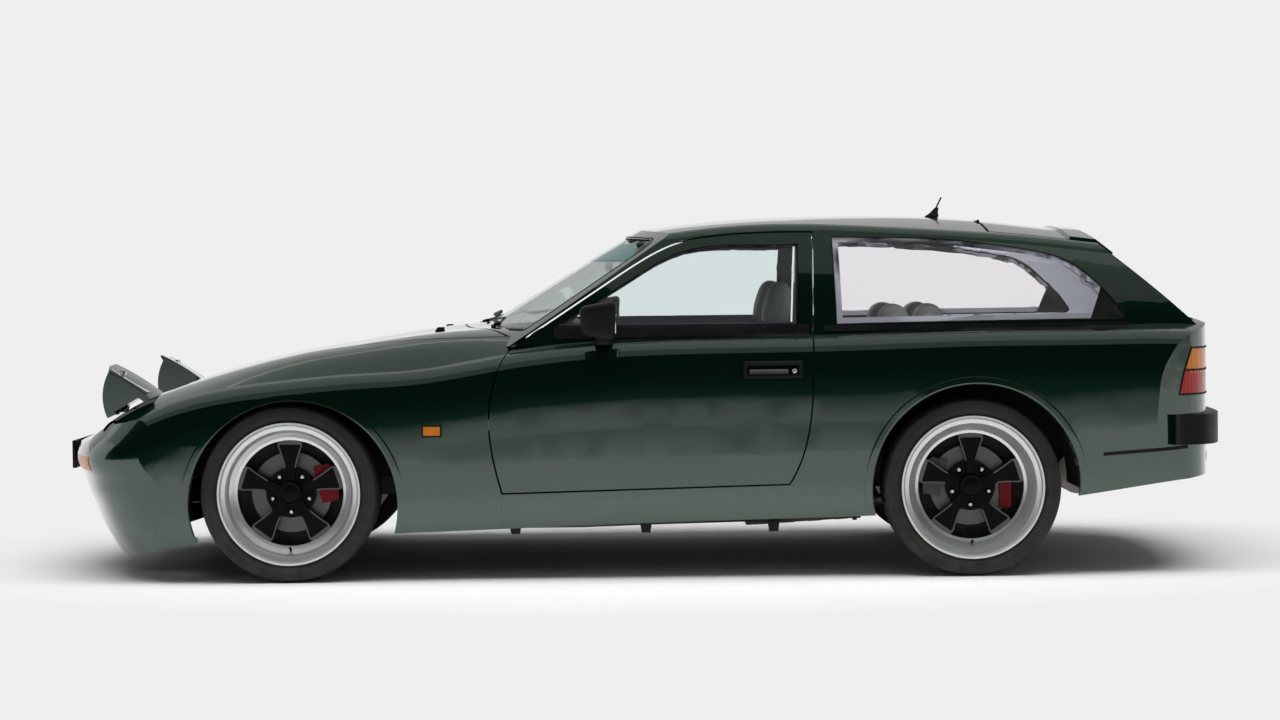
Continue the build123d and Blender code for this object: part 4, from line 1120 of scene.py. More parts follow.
class COUPE_OT_seal_windows(bpy.types.Operator):
    """Run rubber seals round the panes and print their dark borders"""

    bl_idname = "coupe.seal_windows"
    bl_label = "Window seals"

    def execute(self, context):
        width = context.scene.coupe_trim.seal_width
        for side in SIDES:
            seal_pane(f"door_pane_{side}", f"door_glass_{side}", f"door_{side}", width)
        for side, sign in SIDE_SIGN.items():
            seal_pane(f"quarter_pane_{side}", "rear_side_windows", "car", 2.4 * width,
                      lambda c, n, sign=sign: side_face(c, n) and c.y * sign > 0, finish="violet_band")
        seal_pane("screen_pane", "windscreen", "car", 2.0 * width, screen_face, 0.007)
        seal_pane("tailgate_pane", "tailgate_glass", "tailgate", 2.4 * width, lambda c, n: n.z > 0.3, 0.006)
        return {"FINISHED"}


BELT = {"x": (-0.300, 0.604), "z": (0.846, 0.886)}


class COUPE_OT_trim_belt(bpy.types.Operator):
    """Lay the black belt trims under the side windows"""

    bl_idname = "coupe.trim_belt"
    bl_label = "Belt trims"

    def execute(self, context):
        strip = sheet_on_side("door_belt_trim_left", BELT["x"], BELT["z"], 46, 6)
        press_on(strip, ["door_left"], 0.003)
        thicken(strip, 0.005)
        fit(soften(strip, 0.0015), "satin_black_trim", "door_left", "black_trim")
        mirror_all("door_right", strip)
        low = sheet_on_side("quarter_belt_trim_left", (0.655, 1.735), (0.862, 0.884), 54, 4)
        press_on(low, ["side_panel_left"], 0.002)
        fit(thicken(low, 0.004), "satin_black_trim", "car", "black_trim")
        mirror_all("car", low)
        return {"FINISHED"}


def arch_lip(name, centre, radius, nodes, foot_z):
    """Rolled lip round a wheel opening on the left side."""
    ring = primitive("circle", name, vertices=120, radius=radius, fill_type="NOTHING",
                     location=(centre[0], BESIDE, centre[1]), rotation=ALONG_Y)
    wide = (radius + 0.026) / radius
    with picked(ring, "EDGE"):
        for share in (0.25, 0.5, 0.75, 1.0):
            step = (1 + (wide - 1) * share) / (1 + (wide - 1) * (share - 0.25))
            bpy.ops.mesh.extrude_edges_move()
            resize((step, 1, step), about=(centre[0], BESIDE, centre[1]))
        bpy.ops.mesh.select_all(action="SELECT")
        bpy.ops.mesh.normals_make_consistent(inside=False)
    trim_line(ring, (centre[0], 0, foot_z), (0, 0, -1))
    if sum(face.normal.y for face in ring.data.polygons) > 0:
        with picked(ring, "FACE"):
            bpy.ops.mesh.flip_normals()
    press_on(ring, nodes, 0.0045)
    with picked(ring, "VERT", lambda co: co.y < BESIDE + 0.01):
        bpy.ops.mesh.delete(type="VERT")
    thicken(ring, 0.008)
    soften(ring, 0.0025, 3)
    return fit(ring, "green_metallic_paint", "car", "paint")


class COUPE_OT_roll_arches(bpy.types.Operator):
    """Roll a lip round each wheel opening"""

    bl_idname = "coupe.roll_arches"
    bl_label = "Arch lips"

    def execute(self, context):
        front = arch_lip("arch_lip_front_left", (-1.218, 0.272), 0.3685,
                         ["front_wing_left", "front_bumper"], 0.17)
        rear = arch_lip("arch_lip_rear_left", (1.181, 0.309), 0.3665,
                        ["side_panel_left", "rear_valance"], 0.24)
        mirror_all("car", front, rear)
        return {"FINISHED"}


class COUPE_OT_build_handles(bpy.types.Operator):
    """Build the door pulls, their cups and locks"""

    bl_idname = "coupe.build_handles"
    bl_label = "Door handles"

    def execute(self, context):
        low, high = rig.box("door_handle_left")
        cup = block("handle_cup_left", (low.x, low.y, low.z), (high.x, -0.80, high.z))
        soften(cup, 0.010, 4)
        with picked(cup, "FACE", leftward):
            inset(0.008)
            move_by((0, 0.002, 0))
            inset(0.004)
            move_by((0, 0.016, 0))
        fit(soften(cup, 0.0012), "satin_black_trim", "door_left", "black_trim")
        middle_z = (low.z + high.z) / 2 - 0.006
        pull = block("handle_pull_left", (low.x + 0.022, low.y + 0.001, middle_z - 0.011),
                     (high.x - 0.052, low.y + 0.008, middle_z + 0.011))
        dish(pull, leftward, 0.004, (0, 0.0015, 0))
        with picked(pull, "FACE", lambda c, n: abs(n.x) > 0.9):
            resize((1, 1, 0.7))
        fit(soften(pull, 0.003, 3), "smoked_metal", "door_left", "alloy")
        lock = plug("handle_lock_left", 28, 0.0085, 0.012, (high.x - 0.030, low.y + 0.006, middle_z), ALONG_Y)
        with picked(lock, "FACE", leftward):
            inset(0.0018)
            move_by((0, 0.0012, 0))
            inset(0.0035)
            move_by((0, -0.0008, 0))
        fit(soften(lock, 0.0006), "bright_trim", "door_left", "alloy")
        mirror_all("door_right", cup, pull, lock)
        for side in SIDES:
            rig.replaces(bpy.data.objects[f"handle_cup_{side}"], f"door_handle_{side}")
        return {"FINISHED"}


# ------------------------------------------------------------------ wheels
def wheel_nut(name, place):
    """Domed wheel nut with a flange, for the left side."""
    nut = plug(name, 6, 0.0105, 0.020, place, ALONG_Y)
    with picked(nut, "FACE", leftward):
        inset(0.0016)
        move_by((0, -0.002, 0))
        inset(0.003)
        move_by((0, -0.002, 0))
    with picked(nut, "FACE", rightward):
        resize((1.15, 1, 1.15))
    return soften(nut, 0.0007)


# Sidewall points: how far in from the tyre's widest place, and how far out from the rim's edge.
SIDEWALL = ((0.0172, -0.012), (0.0168, 0.003), (0.008, 0.011), (0.003, 0.019), (0.0005, 0.024),
            (0, 0.026), (0.0012, 0.028), (0.0008, 0.036), (0.003, 0.042), (0.0065, 0.050),
            (0.0068, 0.0515), (0.015, 0.0565))
GROOVE_DEPTH = 0.007
TREAD_STEPS = 108


def tyre_ring(name, centre, width, radius, rim_radius):
    """Grooved tyre spun from its profile, with ribs on the sidewall."""
    half = width / 2
    side = [(half - inward, rim_radius + rise) for inward, rise in SIDEWALL]
    tread = [(half - 0.026, radius - 0.0018)]
    for groove in (half - 0.050, half - 0.096):
        tread += [(groove + 0.005, radius), (groove + 0.0035, radius - GROOVE_DEPTH),
                  (groove - 0.0035, radius - GROOVE_DEPTH), (groove - 0.005, radius)]
    profile = side + tread
    whole = profile + [(-out, r) for out, r in reversed(profile)]
    whole.append(whole[0])
    ring = chain(name, [(centre.x, centre.y - out, centre.z + r) for out, r in whole])
    with picked(ring, "EDGE"):
        bpy.ops.mesh.spin(steps=TREAD_STEPS, angle=math.tau, center=centre, axis=(0, 1, 0))
    face_outward(ring)
    modify(ring, "BEVEL", width=0.0006, segments=1, limit_method="ANGLE", angle_limit=0.9)
    return ring


def tread_sipes(ring, centre, radius):
    """Cross cuts in the outer tread ribs, at every second step round the tyre."""

    def is_cut(c, n):
        step = math.degrees(math.atan2(c.z - centre.z, c.x - centre.x)) * TREAD_STEPS / 360
        return (math.hypot(c.x - centre.x, c.z - centre.z) > radius - 0.0015
                and int(step + 500) % 2 == 0 and abs(c.y - centre.y) > 0.052)

    with picked(ring, "FACE", is_cut):
        inset(0.003, depth=-0.004, use_individual=True)
    return ring


class COUPE_OT_build_tyres(bpy.types.Operator):
    """Build grooved tyres in place of the plain ones"""

    bl_idname = "coupe.build_tyres"
    bl_label = "Tyres"

    def execute(self, context):
        rim_radius = (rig.box("rim_front_left")[1].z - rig.box("rim_front_left")[0].z) / 2
        for axle in ("front", "rear"):
            low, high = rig.box(f"tyre_{axle}_left")
            centre = (low + high) / 2
            radius = (high.z - low.z) / 2
            tyre = tyre_ring(f"road_tyre_{axle}_left", centre, high.y - low.y, radius, rim_radius)
            tread_sipes(tyre, centre, radius)
            fit(tyre, "tyre_rubber", f"wheel_{axle}_left", "tyre")
            mirror_all(f"wheel_{axle}_right", tyre)
            for side in SIDES:
                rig.replaces(bpy.data.objects[f"road_tyre_{axle}_{side}"], f"tyre_{axle}_{side}")
        return {"FINISHED"}


SPOKE_FACE = 0.042
LUG_CIRCLE = 0.067
NUTS = 5
HALF_PITCH = math.tau / (2 * NUTS)


class COUPE_OT_build_wheel_fittings(bpy.types.Operator):
    """Build wheel nuts, centre caps and valves"""

    bl_idname = "coupe.build_wheel_fittings"
    bl_label = "Wheel fittings"

    def execute(self, context):
        for axle in ("front", "rear"):
            centre = middle(f"tyre_{axle}_left")
            face = centre.y - SPOKE_FACE
            first = wheel_nut(f"wheel_nuts_{axle}_left", (centre.x, face + 0.024, centre.z + LUG_CIRCLE))
            nuts = [copy_of(first, "nut", math.tau * i / NUTS + HALF_PITCH, centre) for i in range(NUTS)]
            bpy.data.objects.remove(first)
            nuts = joined(nuts, f"wheel_nuts_{axle}_left")
            fit(nuts, "bright_trim", f"wheel_{axle}_left", "alloy")
            cap = plug(f"wheel_cap_{axle}_left", 64, 0.0405, 0.012, (centre.x, face - 0.014, centre.z),
                       ALONG_Y)
            with picked(cap, "FACE", leftward):
                for width, rise in ((0.003, 0.0015), (0.004, -0.002), (0.003, 0.0), (0.010, 0.0025),
                                    (0.010, 0.0012)):
                    inset(width)
                    move_by((0, -rise, 0))
            fit(soften(cap, 0.0008), "satin_black_spokes", f"wheel_{axle}_left", "alloy")
            foot = Vector((centre.x, face - 0.004, centre.z - 0.203))
            valve = bar(f"tyre_valve_{axle}_left", [foot, foot + Vector((0, -0.012, 0.004)),
                                                    foot + Vector((0, -0.030, 0.012))], 0.0042)
            fit(valve, "window_rubber", f"wheel_{axle}_left", "black_trim")
            mirror_all(f"wheel_{axle}_right", nuts, cap, valve)
        return {"FINISHED"}


# ------------------------------------------------------------------ lamps
def lamp_middle(side):
    """Centre of a pop-up lamp's glass."""
    return middle(f"headlamp_lens_{side}")


class COUPE_OT_build_headlamps(bpy.types.Operator):
    """Build reflector bowls, bulbs and bezels behind the round lamp glasses"""

    bl_idname = "coupe.build_headlamps"
    bl_label = "Headlamps"

    def execute(self, context):
        low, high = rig.box("headlamp_lens_left")
        centre = (low + high) / 2
        radius = (high.z - low.z) / 2
        bowl = primitive("circle", "lamp_reflector_left", vertices=64, radius=radius * 0.93,
                         location=(high.x - 0.018, centre.y, centre.z), rotation=ALONG_X)
        with picked(bowl, "EDGE"):
            for step, share in ((0.007, 0.92), (0.008, 0.86), (0.008, 0.74), (0.006, 0.5)):
                extrude_edges_by((step, 0, 0))
                resize((1, share, share), about=(high.x, centre.y, centre.z))
            bpy.ops.mesh.edge_face_add()
        thicken(bowl, 0.001, 1)
        fit(bowl, "lamp_mirror", "headlamp_left", "alloy")
        bulb = primitive("uv_sphere", "lamp_bulb_left", segments=24, ring_count=16, radius=0.011,
                         location=(high.x + 0.004, centre.y, centre.z))
        with picked(bulb, "VERT", lambda co: co.x > high.x + 0.010):
            extrude_by((0.006, 0, 0))
        fit(bulb, "lamp_glass", "headlamp_left", "lamp_glass")
        bezel = primitive("torus", "lamp_bezel_left", major_radius=radius + 0.0045, minor_radius=0.0038,
                          major_segments=72, minor_segments=12, rotation=ALONG_X,
                          location=(low.x + 0.017, centre.y, centre.z))
        with picked(bezel, "FACE", lambda c, n: n.x < -0.8):
            inset(0.0006)
        fit(bezel, "bright_trim", "headlamp_left", "alloy")
        mirror_all("headlamp_right", bowl, bulb, bezel)
        return {"FINISHED"}


class COUPE_OT_build_tail_lamps(bpy.types.Operator):
    """Divide the tail lamps and frame them"""

    bl_idname = "coupe.build_tail_lamps"
    bl_label = "Tail lamps"

    def execute(self, context):
        low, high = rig.box("tail_lamps")
        split = low.z + 0.52 * (high.z - low.z)
        for side, sign in SIDE_SIGN.items():
            def lens_face(c, n, sign=sign):
                return c.y * sign > 0 and (n.x > 0.25 or n.y * sign > 0.25) and abs(n.z) < 0.75

            rail = outline_tube("tail_lamps", f"tail_lamp_frame_{side}", lens_face, 0.0035)
            fit(rail, "window_rubber", "car", "black_trim")
            skin = skin_copy("tail_lamps", f"tail_lamp_divider_{side}", lens_face)
            with picked(skin, "FACE"):
                bpy.ops.mesh.bisect(plane_co=(0, 0, split - 0.003), plane_no=(0, 0, 1), clear_inner=True)
            trim_line(skin, (0, 0, split + 0.003), (0, 0, 1))
            raise_skin(skin, 0.0025)
            fit(thicken(skin, 0.004), "window_rubber", "car", "black_trim")
        return {"FINISHED"}


class COUPE_OT_frame_indicators(bpy.types.Operator):
    """Frame the side markers"""

    bl_idname = "coupe.frame_indicators"
    bl_label = "Side markers"

    def execute(self, context):
        low, high = Vector((-0.758, 0, 0.512)), Vector((-0.698, 0, 0.544))
        frame_piece = sheet_on_side("marker_frame_left", (low.x - 0.005, high.x + 0.005),
                                    (low.z - 0.005, high.z + 0.005), 12, 8)
        with picked(frame_piece, "FACE", lambda c, n: low.x < c.x < high.x and low.z < c.z < high.z):
            bpy.ops.mesh.delete(type="FACE")
        press_on(frame_piece, ["front_wing_left"], 0.0035)
        fit(thicken(frame_piece, 0.004), "window_rubber", "car", "black_trim")
        mirror_all("car", frame_piece)
        return {"FINISHED"}


# ------------------------------------------------------------------ nose, sills and tail
class COUPE_OT_dress_nose(bpy.types.Operator):
    """Fit the blank plate on the nose"""

    bl_idname = "coupe.dress_nose"
    bl_label = "Nose"

    def execute(self, context):
        plate = slab("nose_plate", (-2.1014, -2.088), 0, 0.260, (0.372, 0.474))
        dish(plate, noseward, 0.006, (0.0004, 0, 0))
        fit(soften(plate, 0.002), "satin_black_trim", "car", "black_trim")
        return {"FINISHED"}


class COUPE_OT_add_jack_points(bpy.types.Operator):
    """Fit the jacking nubs under the sills"""

    bl_idname = "coupe.add_jack_points"
    bl_label = "Jack points"

    def execute(self, context):
        for number, x in enumerate((-0.44, 0.02, 0.47), start=1):
            nub = block(f"jack_point_{number}_left", (x - 0.022, -0.792, 0.158), (x + 0.022, -0.752, 0.200))
            with picked(nub, "FACE", downward):
                resize((0.7, 0.7, 1))
                inset(0.004)
                move_by((0, 0, 0.004))
            fit(soften(nub, 0.003), "satin_black_trim", "car", "black_trim")
            mirror_all("car", nub)
        return {"FINISHED"}


class COUPE_OT_finish_tail(bpy.types.Operator):
    """Fit the blank rear plate, exhaust tip, valance seams and inner lamp covers"""

    bl_idname = "coupe.finish_tail"
    bl_label = "Tail"

    def execute(self, context):
        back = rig.box("tail_panel")[1].x
        plate = slab("tail_plate", (back - 0.030, back - 0.012), 0, 0.262, (0.652, 0.764))
        dish(plate, tailward, 0.006, (-0.0015, 0, 0))
        fit(soften(plate, 0.002), "satin_black_trim", "car", "black_trim")
        tip = plug("exhaust_tip", 48, 0.0295, 0.055, (2.0195, -0.500, 0.394), ALONG_X)
        hollow(tip, tailward, 0.0025, (-0.045, 0, 0))
        fit(soften(tip, 0.001), "smoked_metal", "car", "exhaust")
        seam = sheet_on_side("valance_seam_left", (1.625, 1.930), (0.428, 0.440), 48, 2)
        with picked(seam, "VERT"):
            turn_by(0.07, (1.78, 0, 0.434))
        press_on(seam, ["side_panel_left", "rear_valance", "rear_bumper"], 0.002)
        fit(thicken(seam, 0.004), "satin_black_trim", "car", "black_trim")
        mirror_all("car", seam)
        cover = block("lamp_cover_left", (1.874, -0.755, 0.605), (1.886, -0.435, 0.800))
        hollow(cover, noseward, 0.020, (-0.004, 0, 0))
        fit(soften(cover, 0.002), "cabin_plastic")
        mirror_all("car", cover)
        return {"FINISHED"}


# ------------------------------------------------------------------ cabin
PAD_VOXEL = 0.012
CLOTH_STEPS = 20


def place_points(piece, points):
    """Puts a piece's vertices at new places."""
    piece.data.vertices.foreach_set("co", points.ravel())
    piece.data.update()


def swell(piece, pressure, cap):
    """Plumps a closed shape with cloth under pressure and keeps each point near its start."""
    modify(piece, "REMESH", mode="VOXEL", voxel_size=PAD_VOXEL)
    start = rows_of(piece.data.vertices, "co")
    activate(piece)
    bpy.ops.object.modifier_add(type="CLOTH")
    cloth = piece.modifiers[-1]
    cloth.settings.use_pressure = True
    cloth.settings.uniform_pressure_force = pressure
    cloth.settings.effector_weights.gravity = 0.0
    cloth.settings.quality = 5
    cloth.collision_settings.use_collision = False
    cloth.point_cache.frame_start, cloth.point_cache.frame_end = 1, CLOTH_STEPS
    for step in range(1, CLOTH_STEPS + 1):
        bpy.context.scene.frame_set(step)
    bpy.ops.object.modifier_apply(modifier=cloth.name)
    bpy.context.scene.frame_set(1)
    move = rows_of(piece.data.vertices, "co") - start
    length = np.linalg.norm(move, axis=1, keepdims=True)
    move *= np.minimum(1.0, cap / np.maximum(length, 1e-9))
    place_points(piece, start + move)


def sew(piece, places, depth, width):
    """Draws the skin in along the nearest of several lines at places across the car."""
    points = rows_of(piece.data.vertices, "co")
    gap = np.min([np.abs(points[:, 1] - place) for place in places], axis=0)
    pull = depth * np.exp(-((gap / width) ** 2))
    place_points(piece, points - rows_of(piece.data.vertices, "normal") * pull[:, None])


def cushion(name, x_range, y, half, z_range, taper, corner=0.03):
    """Closed block with rounded corners, a little narrower at the top, to be plumped."""
    pad = slab(name, x_range, y, half, z_range)
    with picked(pad, "FACE", upward):
        resize((taper, taper, 1))
    return soften(pad, corner, 4)


def padded_piece(pad, pressure=3.0, cap=0.012, seams=(), depth=0.008, width=0.006):
    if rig.quick():
        modify(pad, "REMESH", mode="VOXEL", voxel_size=PAD_VOXEL)
    else:
        swell(pad, pressure, cap)
    if seams:
        sew(pad, seams, depth, width)
    modify(pad, "SMOOTH", factor=0.5, iterations=2)
    pad.data.polygons.foreach_set("use_smooth", np.ones(len(pad.data.polygons), dtype=bool))
    pad.data.materials.clear()
    pad.data.materials.append(MATERIALS["seat_hide"])
    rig.ride(pad, "car")
    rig.slot(pad, "seat")
    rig.padded(pad, fill=0.7)
    return pad


def lean(pad, angle, foot):
    """Tips a pad about a line across the car."""
    with picked(pad, "VERT"):
        turn_by(-angle, foot)
    return pad


FRONT_SEAT_Y = 0.380
REAR_SEAT_Y = 0.235
BACK_LEAN = math.radians(11.5)
REAR_LEAN = math.radians(7)


def front_seat(side, y):
    """Cushion, ribbed back, bolsters and head rest of a front seat at a place across the car."""
    ribs = [y + step for step in (-0.10, -0.05, 0.0, 0.05, 0.10)]
    edges = (("outer", -1), ("inner", 1))
    base = cushion(f"seat_cushion_{side}", (-0.075, 0.365), y, 0.150, (0.262, 0.352), 0.97)
    padded_piece(base, seams=ribs)
    for number, edge in edges:
        bolster = cushion(f"seat_bolster_{number}_{side}", (-0.060, 0.395), y + edge * 0.152, 0.030,
                          (0.268, 0.392), 0.8, 0.026)
        padded_piece(bolster, 2.0, 0.008)
    foot = (0.400, y, 0.300)
    back = cushion(f"seat_back_{side}", (0.330, 0.425), y, 0.150, (0.330, 0.880), 0.93)
    lean(padded_piece(back, seams=ribs), BACK_LEAN, foot)
    for number, edge in edges:
        bolster = cushion(f"seat_wing_{number}_{side}", (0.306, 0.428), y + edge * 0.158, 0.032,
                          (0.345, 0.860), 0.82, 0.028)
        lean(padded_piece(bolster, 2.0, 0.008), BACK_LEAN, foot)
    head = cushion(f"seat_head_rest_{side}", (0.328, 0.424), y, 0.115, (0.870, 1.046), 0.82, 0.034)
    lean(padded_piece(head, cap=0.008, seams=ribs[1:4], depth=0.006), BACK_LEAN, foot)
    shell = slab(f"seat_shell_{side}", (0.398, 0.442), y, 0.165, (0.300, 0.900))
    with picked(shell, "FACE", tailward):
        resize((1, 0.86, 0.94))
    fit(lean(soften(shell, 0.014, 3), BACK_LEAN, foot), "cabin_plastic")
    return base


class COUPE_OT_build_front_seats(bpy.types.Operator):
    """Build the ribbed front seats"""

    bl_idname = "coupe.build_front_seats"
    bl_label = "Front seats"

    def execute(self, context):
        bases = [front_seat(side, sign * FRONT_SEAT_Y) for side, sign in SIDE_SIGN.items()]
        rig.replaces(bases[0], "front_seats")
        for side, sign in SIDE_SIGN.items():
            for number, offset in enumerate((-0.165, 0.165), start=1):
                y = sign * FRONT_SEAT_Y + offset
                rail = slab(f"seat_runner_{number}_{side}", (-0.02, 0.400), y, 0.014, (0.1905, 0.262))
                with picked(rail, "FACE", lambda c, n: abs(n.y) > 0.9):
                    inset(0.012)
                    resize((1, 0.5, 1), about=(0.18, y, 0.22))
                fit(soften(rail, 0.002), "cast_metal", "car", "running_gear")
        return {"FINISHED"}


class COUPE_OT_build_rear_seats(bpy.types.Operator):
    """Build the small rear seats and their head rests"""

    bl_idname = "coupe.build_rear_seats"
    bl_label = "Rear seats"

    def execute(self, context):
        first = None
        for side, sign in SIDE_SIGN.items():
            y = sign * REAR_SEAT_Y
            ribs = [y - 0.07, y, y + 0.07]
            base = cushion(f"rear_cushion_{side}", (0.806, 1.040), y, 0.205, (0.440, 0.525), 0.97)
            padded_piece(base, seams=ribs, width=0.007)
            back = cushion(f"rear_back_{side}", (1.026, 1.100), y, 0.205, (0.500, 0.825), 0.95)
            lean(padded_piece(back, seams=ribs, width=0.007), REAR_LEAN, (1.03, y, 0.50))
            for part, front in (("pad", 0.870), ("roll", 1.000)):
                rest = cushion(f"rear_head_{part}_{side}", (front, front + 0.146), y, 0.150, (0.790, 0.950),
                               0.62, 0.055)
                padded_piece(rest, cap=0.010, seams=[y - 0.09, y + 0.09], depth=0.006, width=0.008)
            first = first or base
        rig.replaces(first, "rear_seat")
        return {"FINISHED"}


# ------------------------------------------------------------------ cabin fittings
FLOOR_TOP = 0.190
TUNNEL_TOP = 0.400
TUNNEL_HALF = 0.130
DRIVER_Y = -0.370


def ribbed_face(item, way, count, width, rise):
    """Raised ribs across the flat face that looks up (way 1) or down (way -1)."""
    with picked(item, "FACE", lambda c, n: n.z * way > 0.9):
        inset(width)
        bpy.ops.mesh.subdivide(number_cuts=count)
    places = sorted({round(face.center.x, 4) for face in item.data.polygons if face.normal.z * way > 0.9})
    raised = set(places[1::2])
    with picked(item, "FACE", lambda c, n: n.z * way > 0.9 and round(c.x, 4) in raised):
        extrude_by((0, 0, way * rise))


class COUPE_OT_floor_rear_footwell(bpy.types.Operator):
    """Close the floor between the front seats and the rear seat, with its pressed ribs"""

    bl_idname = "coupe.floor_rear_footwell"
    bl_label = "Rear footwell floor"

    def execute(self, context):
        for side, sign in SIDE_SIGN.items():
            near, far = sorted((sign * TUNNEL_HALF, sign * 0.735))
            plate = block(f"rear_floor_{side}", (0.374, near, FLOOR_TOP - 0.012),
                          (0.768, far, FLOOR_TOP + 0.002))
            with picked(plate, "VERT", lambda co: co.x > 0.7):
                move_by((0, 0, 0.022))
            ribbed_face(plate, -1, 6, 0.030, 0.004)
            fit(soften(plate, 0.0015), "sealed_steel", "car", "underbody")
            mat = block(f"rear_mat_{side}", (0.392, near + 0.02, FLOOR_TOP + 0.003),
                        (0.752, far - 0.02, FLOOR_TOP + 0.011))
            with picked(mat, "VERT", lambda co: co.x > 0.7):
                move_by((0, 0, 0.021))
            ribbed_face(mat, 1, 8, 0.018, 0.002)
            fit(mat, "floor_carpet")
            front = block(f"front_mat_{side}", (-0.600, near + 0.02, FLOOR_TOP + 0.001),
                          (-0.100, far - 0.02, FLOOR_TOP + 0.009))
            ribbed_face(front, 1, 10, 0.018, 0.002)
            fit(soften(front, 0.001), "hose_rubber")
        return {"FINISHED"}


def slatted_vent(name, low, high, slats):
    """Air vent in a fascia: a frame round sloping slats, facing the seats."""
    frame_piece = block(f"{name}_frame", low, high)
    hollow(frame_piece, tailward, 0.004, (-0.012, 0, 0))
    soften(frame_piece, 0.001)
    pieces = [frame_piece]
    pitch = (high[2] - low[2] - 0.008) / slats
    for i in range(slats):
        z = low[2] + 0.004 + pitch * (i + 0.5)
        slat = block("slat", (high[0] - 0.011, low[1] + 0.004, z - 0.0012),
                     (high[0] - 0.002, high[1] - 0.004, z + 0.0012))
        with picked(slat, "FACE", tailward):
            move_by((0, 0, -0.003))
        pieces.append(slat)
    return joined(pieces, name)


def on_dial(centre, proud, reach, turn):
    """Point on a dial, proud of its middle plane, at a turn from upright."""
    return centre[0] + proud, centre[1] - reach * math.sin(turn), centre[2] + reach * math.cos(turn)


def dial(name, centre, radius, needle_turn):
    """Instrument: dished face, ring, tick marks and needle, facing the driver."""
    face = plug(f"{name}_face", 64, radius, 0.006, centre, ALONG_X)
    dish(face, tailward, 0.003, (-0.004, 0, 0))
    fit(face, "dial_face")
    ring = primitive("torus", f"{name}_ring", major_radius=radius, minor_radius=0.0018, major_segments=64,
                     minor_segments=10, rotation=ALONG_X, location=(centre[0] + 0.003, *centre[1:]))
    with picked(ring, "FACE", tailward):
        move_by((0.0004, 0, 0))
    fit(ring, "smoked_metal")
    marks = []
    for i in range(13):
        turn = math.radians(-135 + 22.5 * i)
        long = 0.009 if i % 3 == 0 else 0.005
        outer, inner = radius - 0.006, radius - 0.006 - long
        ends = [on_dial(centre, 0.0002, reach, turn) for reach in (outer, inner)]
        marks.append(bar("mark", ends, 0.0008, 1))
    turn = math.radians(needle_turn)
    tip = on_dial(centre, 0.0012, radius - 0.012, turn)
    marks.append(bar("needle", [(centre[0] + 0.0012, *centre[1:]), tip], 0.001, 1))
    fit(joined(marks, f"{name}_marks"), "dial_marks")


# Each dial's place from the driver's middle, its radius and how far its needle turns in degrees.
DIALS = ((-0.110, 0.024, 60), (-0.042, 0.038, 118), (0.045, 0.038, 135), (0.112, 0.024, 45))


class COUPE_OT_build_dashboard(bpy.types.Operator):
    """Build the instrument hood, dials, vents, centre stack and glove box lid"""

    bl_idname = "coupe.build_dashboard"
    bl_label = "Dashboard"

    def execute(self, context):
        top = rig.box("dashboard")[1].z
        hood = slab("instrument_hood", (-0.470, -0.285), DRIVER_Y, 0.185, (top - 0.030, top + 0.046))
        with picked(hood, "VERT", lambda co: co.x < -0.4 and co.z > top):
            move_by((0, 0, -0.040))
        hollow(hood, tailward, 0.010, (-0.040, 0, 0))
        fit(soften(hood, 0.009, 4), "cabin_plastic")
        binnacle = slab("instrument_panel", (-0.345, -0.302), DRIVER_Y, 0.170, (top - 0.112, top - 0.005))
        dish(binnacle, tailward, 0.006, (-0.002, 0, 0))
        fit(soften(binnacle, 0.003), "cabin_plastic")
        for number, (shift, radius, needle) in enumerate(DIALS, start=1):
            dial(f"dial_{number}", (-0.302, DRIVER_Y + shift, top - 0.056), radius, needle)
        stack = slab("centre_stack", (-0.480, -0.292), 0, 0.110, (0.425, top - 0.006))
        with picked(stack, "VERT", lambda co: co.x > -0.3 and co.z < 0.5):
            move_by((0.030, 0, 0))
        with picked(stack, "VERT", lambda co: co.x < -0.4 and co.z < 0.5):
            move_by((0.020, 0, 0))
        fit(soften(stack, 0.006, 3), "cabin_plastic")
        for side, y in (("near", -0.050), ("far", 0.050)):
            vent = slatted_vent(f"centre_vent_{side}", (-0.302, y - 0.044, top - 0.064),
                                (-0.2895, y + 0.044, top - 0.016), 5)
            fit(vent, "satin_black_trim")
        for side, y in (("left", -0.620), ("right", 0.560)):
            vent = slatted_vent(f"side_vent_{side}", (-0.345, y - 0.040, top - 0.100),
                                (-0.304, y + 0.040, top - 0.050), 4)
            fit(vent, "satin_black_trim")
        player = slab("audio_unit", (-0.300, -0.2785), 0, 0.089, (top - 0.140, top - 0.090))
        dish(player, tailward, 0.004, (-0.002, 0, 0))
        fit(soften(player, 0.0012), "dial_face")
        knobs = []
        for y in (-0.060, 0.0, 0.060):
            knob = plug("heater_knob", 40, 0.017, 0.020, (-0.268, y, top - 0.190), ALONG_X)
            with picked(knob, "FACE", tailward):
                inset(0.003)
                move_by((0.003, 0, 0))
                inset(0.004)
                move_by((-0.0015, 0, 0))
            knobs.append(soften(knob, 0.0008))
        fit(joined(knobs, "heater_knobs"), "satin_black_trim")
        lid = block("glove_box_lid", (-0.350, 0.200, 0.635), (-0.318, 0.530, 0.735))
        with picked(lid, "VERT", lambda co: co.z < 0.7):
            move_by((-0.045, 0, 0))
        dish(lid, lambda c, n: n.x > 0.7, 0.008, (-0.002, 0, 0))
        fit(soften(lid, 0.003), "cabin_plastic")
        return {"FINISHED"}


